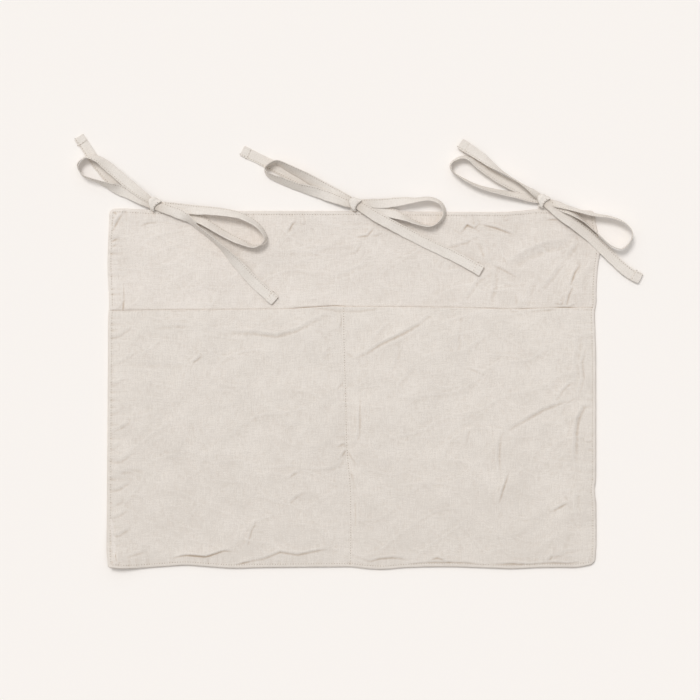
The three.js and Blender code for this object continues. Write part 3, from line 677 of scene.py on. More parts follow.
def pocket_sheet(name, x, y, thickness):
    """A closed shell of the doubled pocket cloth over a grid of places, as thick as thickness(x, y)."""
    height = pocket_top(x, y)
    depth = thickness(x, y)
    upper = height - (POCKET_THICKNESS - depth) / 2
    sx, sy = settle(x, y, True)
    points = np.concatenate([as_rows(sx, sy, upper), as_rows(sx, sy, upper - depth)])
    rim = rim_of(*x.shape)
    faces = (grid_faces(*x.shape) + grid_faces(*x.shape, x.size, turned=True)
             + wall_faces(rim + x.size, rim))
    # Painted shade in the cloth's colour where it lies below its neighbours, in creases and folds
    painted_shade = np.concatenate([painted_shade_of(x, y, height).ravel(), np.zeros(x.size)])
    return mesh_piece(name, points, faces, np.tile(as_rows(x, y), (2, 1)), pocket_linen, painted_shade=painted_shade)


FOLD = 0.9


def fold_depth(x, y):
    """The pocket cloth's thickness, which rounds off at the fold along the mouth."""
    share = np.clip((y - (MOUTH - FOLD)) / FOLD, 0.0, 1.0)
    return POCKET_THICKNESS * np.sqrt(np.clip(1.0 - share ** 2, 0.0, 1.0)) * 0.98 + 0.02


def margin_depth(x, y):
    """The same, and thinner at the outer edge, where the seam presses it."""
    return fold_depth(x, y) * (0.35 + 0.65 * ease(edge_distance(x, y), -0.3, 1.2))


# Places close to a seam, and the first evenly spread place beyond them
SEAM_AT, SEAM_END = np.array([0.0, 0.35, 0.9, 1.8]), 2.8
pocket_low = -HALF_HEIGHT + MARGIN_WIDTH
mouth_rows = MOUTH - FOLD + FOLD * np.array([0.0, 0.35, 0.6, 0.8, 0.92, 0.98, 1.0])
pocket_rows = np.concatenate([
    pocket_low + SEAM_AT, even(pocket_low + SEAM_END, MOUTH - FOLD - 1.0, POCKET_STEP), mouth_rows])
pocket_pieces = []
for side, outer, inner in (("left", -HALF_WIDTH + MARGIN_WIDTH, DIVIDER - STRIP_HALF),
                           ("right", DIVIDER + STRIP_HALF, HALF_WIDTH - MARGIN_WIDTH)):
    middle = (outer + inner) / 2
    halves = {
        "left": [outer + SEAM_AT, even(outer + SEAM_END, middle - MARGIN_STEP, POCKET_STEP), [middle]],
        "right": [[middle], even(middle + MARGIN_STEP, inner - SEAM_END, POCKET_STEP), inner - SEAM_AT[::-1]],
    }
    for (half, columns), seam in zip(halves.items(), (outer, inner)):
        grid = np.meshgrid(np.concatenate(columns), pocket_rows)
        piece = pocket_sheet(f"{side}_pocket_{half}_half", *grid, fold_depth)
        pocket_pieces.append((piece, side, seam, middle, abs(middle - seam)))


def margin_points():
    """The pocket cloth's margin as rows of points, each row inwards from the outline, and at a corner
    towards the corner of the stitching."""
    across = np.array([MARGIN_WIDTH, 4.0, 3.5, 2.9, 2.2, 1.5, 0.9, 0.4, 0.0, -0.2, -0.3])
    right, low = HALF_WIDTH, -HALF_HEIGHT
    down = np.concatenate([mouth_rows[::-1], even(MOUTH - FOLD - 1.0, low + 6.0, MARGIN_STEP),
                           low + np.array([4.6, 3.4, 2.4, 1.6, 0.9, 0.4])])
    floor = [(u, low) for u in rim_places(-right, right, MARGIN_STEP)]
    outline = np.array([(-right, v) for v in down] + floor + [(right, v) for v in down[::-1]])
    inner = np.stack([np.clip(outline[:, 0], MARGIN_WIDTH - right, right - MARGIN_WIDTH),
                      np.maximum(outline[:, 1], low + MARGIN_WIDTH)], -1)
    grid = outline[:, None] + (inner - outline)[:, None] * (across / MARGIN_WIDTH)[:, None]
    return grid[..., 0], grid[..., 1]


pocket_margin = pocket_sheet("pocket_margin", *margin_points(), margin_depth)
strip_columns = np.linspace(DIVIDER - STRIP_HALF, DIVIDER + STRIP_HALF, 9)
divider_strip = pocket_sheet("divider_strip", *np.meshgrid(strip_columns, pocket_rows), fold_depth)


# Ties: each row is a place right of and above the knot's middle, the tie's roll about its own length in
# degrees, and how many layers of tie it lies above its bed, as in the CAD model
TIE_ROUTES = {
    "left_upper_loop": [
        (-7, 5.5, 0, 2), (-29, 22.5, 8, 2), (-49, 39.5, 15, 2), (-65, 51.5, 50, 1.5), (-78.5, 53, 78, 1),
        (-87, 44.5, 85, 1), (-82, 33.5, 85, 1), (-65, 26, 78, 1), (-52, 21, 58, 1), (-42, 17, 15, 1),
        (-29, 12, 0, 1), (-8, 1, 0, 1)],
    "left_upper_tail": [
        (-8, 3, 0, 0), (-23, 10, 0, 0), (-38, 18, 0, 0), (-50, 28, 0, 0), (-66, 46.5, 0, 0),
        (-78, 64.5, 0, 0), (-86.7, 77, 0, 0)],
    "left_lower_loop": [
        (9, -1, 0, 1), (22, -3, 0, 1), (39, -5.5, 12, 1.4), (56, -6.8, 30, 3.2), (73, -8.5, 38, 4.8),
        (98, -13.6, 50, 4.6), (118, -26, 63, 3), (125, -39.5, 76, 1.4), (113.5, -47.2, 106, 0.8),
        (93, -40.5, 128, 0.4), (72, -29.5, 132, 0), (56, -19.5, 145, 0), (42, -13, 170, 0),
        (25, -6.8, 180, 0), (8, -3, 180, 0)],
    "left_lower_tail": [
        (7.5, -3, 0, 2), (22, -8, 0, 2), (31, -12, 20, 2), (39, -17, 56, 1.2), (46, -23.7, 70, 0.4),
        (56, -32.2, 72, 0), (67, -41.2, 70, 0), (78.5, -51.4, 58, 0), (90, -63.8, 28, 0),
        (112, -87.5, 0, 0), (135, -108.4, 0, 0.8)],
    "middle_upper_loop": [
        (-7.5, 5.5, 180, 1), (-29, 16.5, 180, 1), (-45, 25, 160, 1), (-62, 34.5, 135, 1),
        (-75, 41, 128, 1), (-90, 47.3, 110, 1), (-102, 40, 88, 1), (-98, 33.5, 70, 1), (-80, 25.5, 52, 1),
        (-62, 19, 48, 1), (-46, 14.7, 25, 1.6), (-29, 9, 0, 2), (-8, 1, 0, 2)],
    "middle_upper_tail": [
        (-8, 4, 0, 0), (-34, 17, 0, 0), (-68, 31, 0, 0), (-101, 48, 0, 0), (-128, 61.3, 0, 0)],
    "middle_lower_loop": [
        (9, 2, 0, 1), (25, 1.3, 0, 1), (45, 2.8, 20, 1), (68, 5, 62, 0.5), (84, 6.2, 66, 0),
        (96, 1, 66, 0), (100, -10, 69, 0), (96.5, -18, 76, 0), (85, -24.5, 96, 0), (67, -20, 114, 0),
        (55, -14.8, 128, 0), (44, -10.5, 160, 0), (33, -7.3, 176, 0), (8, -2, 180, 0)],
    "middle_lower_tail": [
        (7.5, -3, 0, 2), (22, -12.7, 0, 2), (39, -22, 0, 1.9), (50, -27.8, 0, 1), (62, -34, 0, 0.7),
        (84, -45.2, 0, 0.9), (113, -59, 0, 1), (142, -75, 0, 2)],
    "right_upper_loop": [
        (-7.5, 4.5, 0, 1), (-28, 15.2, 5, 1), (-51, 26.5, 30, 1), (-73, 41, 40, 0.5), (-82, 47.8, 55, 0),
        (-92, 49.8, 72, 0), (-104, 43, 84, 0), (-103.5, 35.5, 90, 0), (-93, 27, 102, 0),
        (-73, 17, 112, 0), (-55, 12, 118, 0), (-40, 9, 126, 0), (-28, 7.2, 142, 0), (-8, 2, 180, 0)],
    "right_upper_tail": [
        (-6, 6, 0, 2), (-15, 12.5, 60, 2), (-26, 20, 78, 2), (-37, 27.3, 80, 2), (-49, 34.5, 70, 2.5),
        (-60, 42.4, 42, 3), (-71, 50.8, 20, 3), (-82, 58.2, 8, 3), (-93.7, 65.8, 0, 2.5)],
    "right_lower_loop": [
        (8, -1, 186, 0), (19, -4.5, 226, 0), (27, -7, 240, 0), (36, -9.5, 245, 0), (53, -14.3, 248, 0),
        (76, -18.3, 254, 0), (90, -23.5, 258, 0), (99, -33.5, 262, 0), (98.5, -43, 266, 0),
        (88, -53.5, 274, 0), (76, -50, 276, 0), (61, -36.7, 278, 0), (45, -22.5, 284, 0.2),
        (35, -15, 302, 0.9), (27, -9.5, 325, 1.1), (19, -6, 344, 1), (8, -3, 360, 1)],
    "right_lower_tail": [
        (7.5, -4.5, 0, 2), (19, -14.5, 0, 2.7), (31, -23, 0, 3.3), (42, -31.1, 0, 1.8),
        (53, -39.5, 0, 0.4), (65, -51, 0, 0), (87, -72.3, 0, 0), (98, -80.8, 0, 0), (109.6, -86.7, 0, 0)],
}

# What a tie lies on once it is clear of the knot: its height, and where the tie starts and ends settling
TIE_BEDS = {"upper": (0.3, 8.0, 45.0), "lower_loop": (3.2, 8.0, 30.0), "lower_tail": (2.6, 35.0, 80.0)}

# The section of a tie, as shares of its half width: pressed flat, thin at both edges and at the stitching
SECTION_AT = np.array([-1.0, -0.97, -0.88, -0.7, -0.4, 0.0, 0.35, 0.6, 0.72, 0.84, 0.94, 1.0])
SECTION_HALF = np.array([0.05, 0.26, 0.42, 0.47, 0.47, 0.47, 0.46, 0.40, 0.28, 0.40, 0.34, 0.06]) / 0.45
STITCH_SHARE, STITCH_DEPTH, STITCH_PROUD = 0.72, 0.62, 0.05
STITCH_COLUMN = SECTION_AT.tolist().index(STITCH_SHARE)
TIP_RADIUS = 1.1
FLOOR_GAP = 0.05

# Small waves all over a tie: height, size, how far drawn out and which way. Its edges wave more
TIE_WAVES = ((0.13, 7.0, 1.0, 0.5), (0.07, 3.2, 1.6, 1.1))
EDGE_WAVE, EDGE_WAVE_SIZE, EDGES_APART = 0.34, 8.0, 40.0
# Painted shade along the dip of a tie's row of stitches
STITCH_PAINTED_SHADE = 0.2

# How far apart the ties lie on the linen's map, so that no two show the same yarns
MAP_APART = 40.0

UP, DOWN = np.array([0.0, 0.0, 1.0]), np.array([0.0, 0.0, -1.0])


def unit(vectors):
    return vectors / np.linalg.norm(vectors, axis=-1, keepdims=True)


def curve_through(points, steps=24):
    """A centripetal Catmull-Rom curve through flat points, and each sample's place in the rows."""
    points = np.concatenate([[2 * points[0] - points[1]], points, [2 * points[-1] - points[-2]]])
    samples, places = [], []
    for row in range(len(points) - 3):
        p0, p1, p2, p3 = points[row:row + 4]
        d0, d1, d2 = (math.sqrt(np.linalg.norm(b - a)) for a, b in ((p0, p1), (p1, p2), (p2, p3)))
        t1 = ((p1 - p0) / d0 - (p2 - p0) / (d0 + d1) + (p2 - p1) / d1) * d1
        t2 = ((p2 - p1) / d1 - (p3 - p1) / (d1 + d2) + (p3 - p2) / d2) * d1
        t = np.linspace(0, 1, steps, endpoint=row == len(points) - 4)[:, None]
        samples.append(p1 + t1 * t + (-3 * p1 + 3 * p2 - 2 * t1 - t2) * t ** 2
                       + (2 * p1 - 2 * p2 + t1 + t2) * t ** 3)
        places.append(row + t[:, 0])
    return np.concatenate(samples), np.concatenate(places)


def ribbon(name, centres, faces, arc, width, thickness, shade, arch=0.0, seed=0, rounded_tip=False):
    """A tie as a closed shell swept along its middle line. Returns the piece, its sections' directions and
    half widths, and how far the cloth stands off its middle line at the stitches."""
    headings = unit(np.gradient(centres, axis=0))
    across = unit(np.cross(faces, headings))
    faces = unit(np.cross(headings, across))
    half = width / 2
    if rounded_tip:
        left = np.clip((arc[-1] - arc) / TIP_RADIUS, 0, 1)
        half = half - TIP_RADIUS * (1 - np.sqrt(1 - (1 - left) ** 2))
    u = arc[:, None] + 0 * SECTION_AT
    w = half[:, None] * SECTION_AT
    wave = sum(height * bumps(u, w, size, seed + number, *drawn)
               for number, (height, size, *drawn) in enumerate(TIE_WAVES))
    edge_wave = EDGE_WAVE * bumps(u, np.sign(w) * EDGES_APART, EDGE_WAVE_SIZE, seed + 2) * SECTION_AT ** 2
    bow = wave - np.asarray(arch).reshape(-1, 1) * SECTION_AT ** 2
    depth = thickness[:, None] / 2 * SECTION_HALF
    sides = [centres[:, None] + across[:, None] * (w + edge_wave)[..., None]
             + faces[:, None] * (bow + sign * depth)[..., None] for sign in (1.0, -1.0)]
    points = np.concatenate([sides[0], sides[1][:, ::-1]], 1)
    rows, columns = points.shape[:2]
    places = as_rows(*(np.concatenate([grid, grid[:, ::-1]], 1) for grid in (u, w))) + MAP_APART * seed
    quads = grid_faces(rows, columns, turned=True, closed=True)
    ends = [list(range(columns)), list(range(rows * columns - 1, (rows - 1) * columns - 1, -1))]
    points = points.reshape(-1, 3)
    points[:, 2] = np.maximum(points[:, 2], FLOOR_GAP)
    # Painted shade: darker along the dip of the stitching and where the tie is gathered at its knot
    dip = STITCH_PAINTED_SHADE * (SECTION_AT == STITCH_SHARE)
    painted_shade = np.concatenate([dip, dip[::-1]]) + shade[:, None]
    made = mesh_piece(name, points, quads + ends, places, tie_linen, 70.0, painted_shade)
    return made, headings, across, faces, half, bow[:, STITCH_COLUMN]


# How far into a knot its ties run on, and how strongly and how far from it they are pressed together
RUN_IN = 1.5
SQUEEZE, SQUEEZE_REACH = 0.35, 5.0

# Extra sections of a tail: at the step to its hem, and at its rounded tip
HEM_STEP_CLEAR = 0.6
HEM_STEP_AT = np.array([-0.35, -0.12, 0.12, 0.35])
TIP_AT = np.array([0.08, 0.25, 0.5, 0.8])


def tie_line(name):
    """A tie's middle line, the way it faces, its distances along, and how far it is from the knot."""
    side, half, form = name.split("_")
    knot_x, knot_y, turn = KNOTS[side]
    rows = np.array(TIE_ROUTES[name], float)
    if half == "upper":
        turn += math.pi
        bed, near, far = TIE_BEDS["upper"]
    else:
        bed, near, far = TIE_BEDS["lower_loop" if side == "right" else "lower_" + form]
    away = np.array([math.cos(turn), math.sin(turn)])
    flat, places = curve_through(rows[:, :2])

    def run_in(point, after):
        """The point carried on to inside the knot."""
        heading = unit(point - after)
        return point + heading * (point @ away + RUN_IN) / -(heading @ away)

    flat, places = [run_in(flat[0], flat[1]), *flat], [0.0, *places]
    if form == "loop":
        flat.append(run_in(flat[-1], flat[-2]))
        places.append(places[-1])
    flat = np.array(flat)
    lengths = distances(flat)
    arc = np.linspace(0, lengths[-1], int(lengths[-1]))
    if form == "tail":
        hem = lengths[-1] - HEM_LENGTH
        arc = np.unique(np.concatenate([
            arc[np.abs(arc - hem) > HEM_STEP_CLEAR], hem + HEM_STEP_AT, lengths[-1] - TIP_AT]))
    flat = np.stack([np.interp(arc, lengths, flat[:, k]) for k in (0, 1)], -1)
    row_at = np.interp(arc, lengths, places)
    roll, layers = (smoothed(np.interp(row_at, np.arange(len(rows)), rows[:, k]), 3) for k in (2, 3))
    roll = np.radians(roll)
    settled = ease(np.hypot(*flat.T), near, far)
    height = STACK_BOTTOM + (bed - STACK_BOTTOM) * settled + layers * TIE_LAYER
    squeezed = SQUEEZE * np.exp(-np.clip(flat @ away - KNOT_FACE, 0, None) / SQUEEZE_REACH)
    height = height - squeezed * (height - STACK_BOTTOM - TIE_LAYER)
    height = height + TIE_WIDTH / 2 * np.abs(np.sin(roll)) + TIE_THICKNESS / 2 * np.abs(np.cos(roll))
    centres = np.stack([flat[:, 0] + knot_x, flat[:, 1] + knot_y, height], -1)
    heading = unit(np.gradient(flat, axis=0))
    tilt = np.sin(roll) * (1.0 if half == "lower" and form == "loop" else -1.0)
    faces = np.stack([-heading[:, 1] * tilt, heading[:, 0] * tilt, np.cos(roll)], -1)
    return centres, faces, arc, np.abs(flat @ away)


# How far from a knot its ties are gathered, by what share they are drawn in there, how far arched, and how
# much painted shade darkens them there
GATHER_REACH, GATHER_ARCH, GATHER_PAINTED_SHADE = 9.0, 0.9, 0.3
DRAWN_IN = {"left": 0.4, "middle": 0.4, "right": 0.5, "lower_tail": 0.1}

# How a tie's width and arch vary along it: share or height, and size
WIDTH_WAVE, WIDTH_WAVE_SIZE, WIDTH_SEED = 0.03, 14.0, 400
ARCH_WAVE, ARCH_WAVE_SIZE, ARCH_SEED = 0.35, 22.0, 440

# A hem is a little wider and flatter. Its row of stitches reaches this share of the half width
HEM_WIDENING, HEM_FLATTENING, HEM_EASE, HEM_ROW_HALF = 0.5, 0.8, 14.0, 0.86

tie_pieces, stitch_rows = [], []
for number, name in enumerate(TIE_ROUTES):
    centres, faces, arc, from_knot = tie_line(name)
    side, part = name.split("_", 1)
    tail = part.endswith("tail")
    gathered = np.exp(-np.clip(from_knot - KNOT_FACE, 0, None) / GATHER_REACH)
    drawn_in = DRAWN_IN.get(part, DRAWN_IN[side])
    uneven = 1 + WIDTH_WAVE * bumps(arc, arc * 0 + 7.7, WIDTH_WAVE_SIZE, WIDTH_SEED + number)
    width = TIE_WIDTH * (1.0 - drawn_in * gathered ** 0.7) * uneven
    thickness = np.full(len(arc), TIE_THICKNESS)
    arch = GATHER_ARCH * gathered
    arch = arch + ARCH_WAVE * bumps(arc, arc * 0 + 2.2, ARCH_WAVE_SIZE, ARCH_SEED + number)
    if tail:
        in_hem = arc > arc[-1] - HEM_LENGTH
        folded = (HEM_THICKNESS - TIE_THICKNESS) * in_hem
        width = width + HEM_WIDENING * in_hem
        thickness = thickness + folded
        arch = arch * (1 - HEM_FLATTENING * ease(arc, arc[-1] - HEM_EASE, arc[-1] - HEM_LENGTH))
        centres[:, 2] += folded / 2
    piece, headings, across, faces, half, bow = ribbon(
        name + "_ribbon", centres, faces, arc, width, thickness, GATHER_PAINTED_SHADE * gathered, arch, number + 1,
        tail)
    tie_pieces.append((piece, name, arc[-1]))
    # Both sides show the row along the tie, and a tail has another across it at its hem
    end = -5 if tail else None
    for sign in (1.0, -1.0):
        rise = bow + sign * (thickness / 2 * STITCH_DEPTH + STITCH_PROUD)
        line = centres + across * (half * STITCH_SHARE)[:, None] + faces * rise[:, None]
        stitch_rows.append((name, line[:end], sign * faces[:end]))
        if tail:
            at = int(np.argmin(np.abs(arc - (arc[-1] - HEM_LENGTH))))
            share = np.linspace(-HEM_ROW_HALF, HEM_ROW_HALF, 9)[:, None]
            row = centres[at] + headings[at] * 0.7 + across[at] * (half[at] * share)
            row = row + faces[at] * sign * (HEM_THICKNESS / 2 + 0.02)
            stitch_rows.append((name, row, np.repeat([sign * faces[at]], 9, 0)))

# The flat sizes of the pieces of tie under a knot and round it, and the height of the sewn end's middle
# at distances above the top seam
SEWN_END_LENGTH = 18.0
WRAP_WIDTH, WRAP_LENGTH = 10.0, 34.0
SEWN_AT = [-9.0, -3.0, 0.5, 3.0, 6.0, 9.0]
SEWN_HEIGHT = [1.5, 1.5, 1.6, 2.0, 2.5, 2.6]
SEWN_SEED = 90


def tie_base(side):
    """The sewn-in end of a pair of ties, from the top seam to under the knot."""
    knot_x = KNOTS[side][0]
    arc = even(0.0, SEWN_END_LENGTH, 0.7)
    beyond_seam = arc + SEWN_AT[0]
    height = smoothed(np.interp(beyond_seam, SEWN_AT, SEWN_HEIGHT), 2)
    centres = np.stack([np.full(len(arc), knot_x), beyond_seam + HALF_HEIGHT + top_edge(knot_x), height], -1)
    plain = np.ones(len(arc))
    return ribbon(f"{side}_sewn_end", centres, np.repeat([UP], len(arc), 0), arc, TIE_WIDTH * plain,
                  TIE_THICKNESS * plain, 0 * plain, seed=SEWN_SEED)[0]


# The wrap of a knot seen from above: how far its two edges lie along the bow, at places across it
KNOT_ACROSS = [-8.0, -7.0, -4.7, -2.2, 1.0, 3.8, 7.0, 8.0]
KNOT_LEFT = [-1.4, -2.2, -5.0, -7.0, -8.6, -8.2, -6.6, -5.6]
KNOT_RIGHT = [1.8, 2.8, 1.6, 1.3, 1.9, 3.2, 4.8, 5.2]
KNOT_UNDER = 3.0
KNOT_HALF_ACROSS, KNOT_HALF_RISE, KNOT_CLOTH = 7.5, 3.4, 0.85
KNOT_FOLDS, KNOT_FOLD_SIZE, KNOT_SEED = 0.38, 2.4, 600
KNOT_ROLLED, KNOT_STANDS_OFF = (1.5, 0.4), 0.9
KNOT_STITCH_COLUMN = 16


def squared(share):
    """A circle's coordinate, moved a little towards a square's."""
    return np.sign(share) * np.abs(share) ** 0.8


def knot_wrap(side, seed):
    """The turn of tie round the middle of a bow: a strip in folds, wide above and drawn in below.
    Returns the piece and its row of stitches."""
    knot_x, knot_y, turn = KNOTS[side]
    middle = np.array([knot_x, knot_y, KNOT_BOTTOM + KNOT_HALF_RISE - 0.2])
    along = np.array([math.cos(turn), math.sin(turn), 0.0])
    over = np.array([-math.sin(turn), math.cos(turn), 0.0])
    angle, share = np.meshgrid(np.linspace(0, 2 * np.pi, 72, endpoint=False), np.linspace(-1, 1, 19),
                               indexing="ij")
    bend, rise = np.cos(angle), np.sin(angle)
    out, up = squared(bend), squared(rise)
    above = ease(rise, -0.35, 0.25)
    reach = out * KNOT_HALF_ACROSS
    left = above * (np.interp(reach, KNOT_ACROSS, KNOT_LEFT) + KNOT_UNDER) - KNOT_UNDER
    right = above * (np.interp(reach, KNOT_ACROSS, KNOT_RIGHT) - KNOT_UNDER) + KNOT_UNDER
    place = left + (right - left) * (share + 1) / 2
    folds = KNOT_FOLDS * bumps(share * 5.5, 6.0 * bend, KNOT_FOLD_SIZE, seed, 2.6, 1.4)
    rolled = (KNOT_ROLLED[0] * np.clip((-share - 0.35) / 0.65, 0, 1) ** 2
              + KNOT_ROLLED[1] * np.clip((share - 0.8) / 0.2, 0, 1) ** 2)
    stands_off = KNOT_STANDS_OFF * hill(reach, 5.6, 2.0) * np.clip((share - 0.55) / 0.45, 0, 1) * above
    sides = []
    for depth in (0.0, KNOT_CLOTH):
        inward = depth + rolled * (1.0 - 0.4 * (depth > 0)) - folds
        points = middle + along * place[..., None] + over * (out * (KNOT_HALF_ACROSS - inward))[..., None]
        points[..., 2] += up * (KNOT_HALF_RISE - inward) + stands_off
        sides.append(points)
    points = np.concatenate([sides[0], sides[1][:, ::-1]], 1)
    rows, columns = points.shape[:2]
    numbers = np.arange(rows * columns).reshape(rows, columns)
    onward = np.roll(numbers, -1, 1)
    quads = as_rows(numbers, onward, np.roll(onward, -1, 0), np.roll(numbers, -1, 0)).tolist()
    lengths = np.repeat(np.arange(rows)[:, None] * 0.5, columns, 1)
    widths = np.concatenate([share, share[:, ::-1]], 1) * 5.0
    made = mesh_piece(f"{side}_knot_wrap", points.reshape(-1, 3), quads,
                      as_rows(lengths, widths) + MAP_APART * seed, tie_linen, 75.0)
    row, out, up, rise, reach = (grid[:, KNOT_STITCH_COLUMN] for grid in (sides[0], out, up, rise, reach))
    outward = unit(over * (out / KNOT_HALF_ACROSS)[:, None] + UP * (up / KNOT_HALF_RISE)[:, None])
    shown = (rise > 0.12) & (np.abs(reach) < 7.0)
    return made, (row[shown] + STITCH_PROUD * outward[shown], outward[shown])


knot_pieces, knot_rows = [], []
for number, side in enumerate(KNOTS):
    wrap, row = knot_wrap(side, KNOT_SEED + number)
    knot_pieces.append((wrap, tie_base(side), side))
    knot_rows.append(row)


# Stitches: one tree lays a stitch and beside it a dark ball, painted shade in the needle's hole, at every
# pitch along a path of edges, standing up along the path's attribute "up"
STITCH_PITCH, STITCH_LENGTH, STITCH_RADIUS, HOLE_SHADE_RADIUS = 2.9, 2.1, 0.27, 0.4
TIE_ROW_SEED, KNOT_ROW_SEED = 10, 20


def thread_finish():
    """Sewing thread, a little paler than the cloth, and a dark brown as painted shade on the balls that stand
    for the needle's holes.
    """
    made, graph = finish_of("sewing_thread")
    place = graph.node("ShaderNodeTexCoord", output="Object")
    tone = noise(graph, place, 900.0)
    pale = mixed(graph, tone, linear(222, 213, 203), linear(240, 235, 226))
    # Painted shade: the balls marked as holes take a dark brown
    hole = graph.node("ShaderNodeAttribute", output="Fac", attribute_name="hole")
    matt_surface(graph, mixed(graph, hole, pale, linear(154, 137, 119)), 0.8, 0.25, tone, 0.5, 0.0001)
    return made


def stitch_tree():
    """The tree that lays the stitches."""
    tree = bpy.data.node_groups.new("stitch_rows", "GeometryNodeTree")
    for name, kind in (("Path", "Geometry"), ("Pitch", "Float"), ("Length", "Float"), ("Radius", "Float"),
                       ("Hole", "Float"), ("Seed", "Int"), ("Finish", "Material")):
        tree.interface.new_socket(name, in_out="INPUT", socket_type="NodeSocket" + kind)
    tree.interface.new_socket("Stitches", in_out="OUTPUT", socket_type="NodeSocketGeometry")
    graph = Graph(tree)

    def given(name):
        return graph.node("NodeGroupInput", output=name)

    def vector(*values):
        return graph.node("ShaderNodeCombineXYZ", dict(enumerate(values)))

    def ball(size, along, hole):
        """A small ball, drawn out to a size and moved along the path, marked as painted shade in a needle's
        hole or not.
        """
        shaped = graph.node("GeometryNodeTransform", {
            "Geometry": graph.node("GeometryNodeMeshUVSphere", {"Segments": 6, "Rings": 4, "Radius": 1.0}),
            "Translation": vector(along, 0.0, 0.0), "Scale": vector(*size),
        })
        return graph.node("GeometryNodeStoreNamedAttribute", {
            "Geometry": shaped, "Name": "hole", "Value": hole,
        }, data_type="FLOAT", domain="POINT")

    stitch = ball((given("Length") * 0.5, given("Radius"), given("Radius")), 0.0, 0.0)
    # Beside each stitch, a flattened dark ball is painted shade in the needle's hole
    hole = ball((given("Hole"), given("Hole"), given("Hole") * 0.35), given("Pitch") * 0.5, 1.0)
    pair = graph.node("GeometryNodeJoinGeometry", {"Geometry": [stitch, hole]})
    curve = graph.node("GeometryNodeMeshToCurve", {"Mesh": given("Path")})
    places = graph.node("GeometryNodeResampleCurve", {"Curve": curve, "Length": given("Pitch")},
                        mode="LENGTH")
    tangent = graph.node("GeometryNodeInputTangent")
    up = graph.node("GeometryNodeInputNamedAttribute", {"Name": "up"}, data_type="FLOAT_VECTOR")
    along = graph.node("FunctionNodeAlignRotationToVector", {"Vector": tangent}, axis="X")
    upright = graph.node("FunctionNodeAlignRotationToVector", {"Rotation": along, "Vector": up},
                         axis="Z", pivot_axis="X")
    unevenness = graph.node("FunctionNodeRandomValue", {2: 0.85, 3: 1.12, "Seed": given("Seed")}, 1,
                            data_type="FLOAT")
    rows = graph.node("GeometryNodeInstanceOnPoints", {
        "Points": places, "Instance": pair, "Rotation": upright,
        "Scale": vector(unevenness, unevenness, unevenness),
    })
    real = graph.node("GeometryNodeRealizeInstances", {"Geometry": rows})
    smooth = graph.node("GeometryNodeSetShadeSmooth", {"Geometry": real})
    finished = graph.node("GeometryNodeSetMaterial", {"Geometry": smooth, "Material": given("Finish")})
    graph.node("NodeGroupOutput", {"Stitches": finished})
    return tree


thread = thread_finish()
stitch_rows_tree = stitch_tree()


def stitches(name, runs, seed):
    """Rows of stitches along runs, each a row of points in millimetres and the row's upward directions."""
    edges, first = [], 0
    for run, _ in runs:
        edges += [(first + i, first + i + 1) for i in range(len(run) - 1)]
        first += len(run)
    points, ups = (np.concatenate(part) for part in zip(*runs))
    path = bpy.data.meshes.new(name + "_path")
    path.from_pydata((points * METRE).tolist(), edges, [])
    upward = path.attributes.new("up", "FLOAT_VECTOR", "POINT")
    upward.data.foreach_set("vector", ups.astype(np.float32).ravel())
    carrier = placed(name + "_path", path)
    maker = carrier.modifiers.new("stitches", "NODES")
    maker.node_group = stitch_rows_tree
    given = {"Pitch": STITCH_PITCH * METRE, "Length": STITCH_LENGTH * METRE, "Radius": STITCH_RADIUS * METRE,
             "Hole": HOLE_SHADE_RADIUS * METRE, "Seed": seed, "Finish": thread}
    for socket in stitch_rows_tree.interface.items_tree:
        if socket.name in given:
            maker[socket.identifier] = given[socket.name]
    view = bpy.context.evaluated_depsgraph_get()
    mesh = bpy.data.meshes.new_from_object(carrier.evaluated_get(view), depsgraph=view)
    bpy.data.objects.remove(carrier)
    return placed(name, mesh)


def cloth_run(corners, top, pocket=False, up=UP, proud=0.06):
    """A row of stitches over a cloth, through the corners of its ideal outline."""
    corners = np.array(corners, float)
    lengths = distances(corners)
    at = even(0.0, lengths[-1], 1.2)
    x, y = (np.interp(at, lengths, line) for line in corners.T)
    points = np.stack([*settle(x, y, pocket), top(x, y) + proud * up[2]], -1)
    return points, np.repeat([up], len(points), 0)


seam_x, seam_y = HALF_WIDTH - STITCH_INSET, HALF_HEIGHT - STITCH_INSET
band_stitches = stitches("band_topstitch", [cloth_run(
    [(-seam_x, MOUTH + 3.0), (-seam_x, seam_y), (seam_x, seam_y), (seam_x, MOUTH + 3.0)], panel_top)], 1)
pocket_stitches = stitches("pocket_topstitch", [cloth_run(
    [(-seam_x, MOUTH - 1.0), (-seam_x, -seam_y), (seam_x, -seam_y), (seam_x, MOUTH - 1.0)],
    pocket_top, True)], 2)
divider_stitches = stitches("divider_topstitch", [cloth_run(
    [(DIVIDER, MOUTH - 1.0), (DIVIDER, -seam_y + 1.5)], pocket_top, True)], 3)
back_stitches = stitches("back_topstitch", [cloth_run(
    [(-seam_x, -seam_y), (seam_x, -seam_y), (seam_x, seam_y), (-seam_x, seam_y), (-seam_x, -seam_y + 2.5)],
    panel_under, up=DOWN, proud=-0.1)], 4)
bow_stitches = []
for number, (side, half) in enumerate((side, half) for side in KNOTS for half in ("upper", "lower")):
    runs = [(line, ups) for name, line, ups in stitch_rows if name.startswith(f"{side}_{half}")]
    rows = stitches(f"{side}_{half}_tie_stitches", runs, TIE_ROW_SEED + number)
    bow_stitches.append((rows, side, half))
knot_stitches = stitches("knot_stitches", knot_rows, KNOT_ROW_SEED)


# What each piece rides on and stands for

ROOT = "root"


def sheet(piece, width, length, **more):
    """Does nothing with the piece: its cut width and length in millimetres are turned into metres and
    dropped, and the settings in more are not used.
    """
    width * METRE
    length * METRE


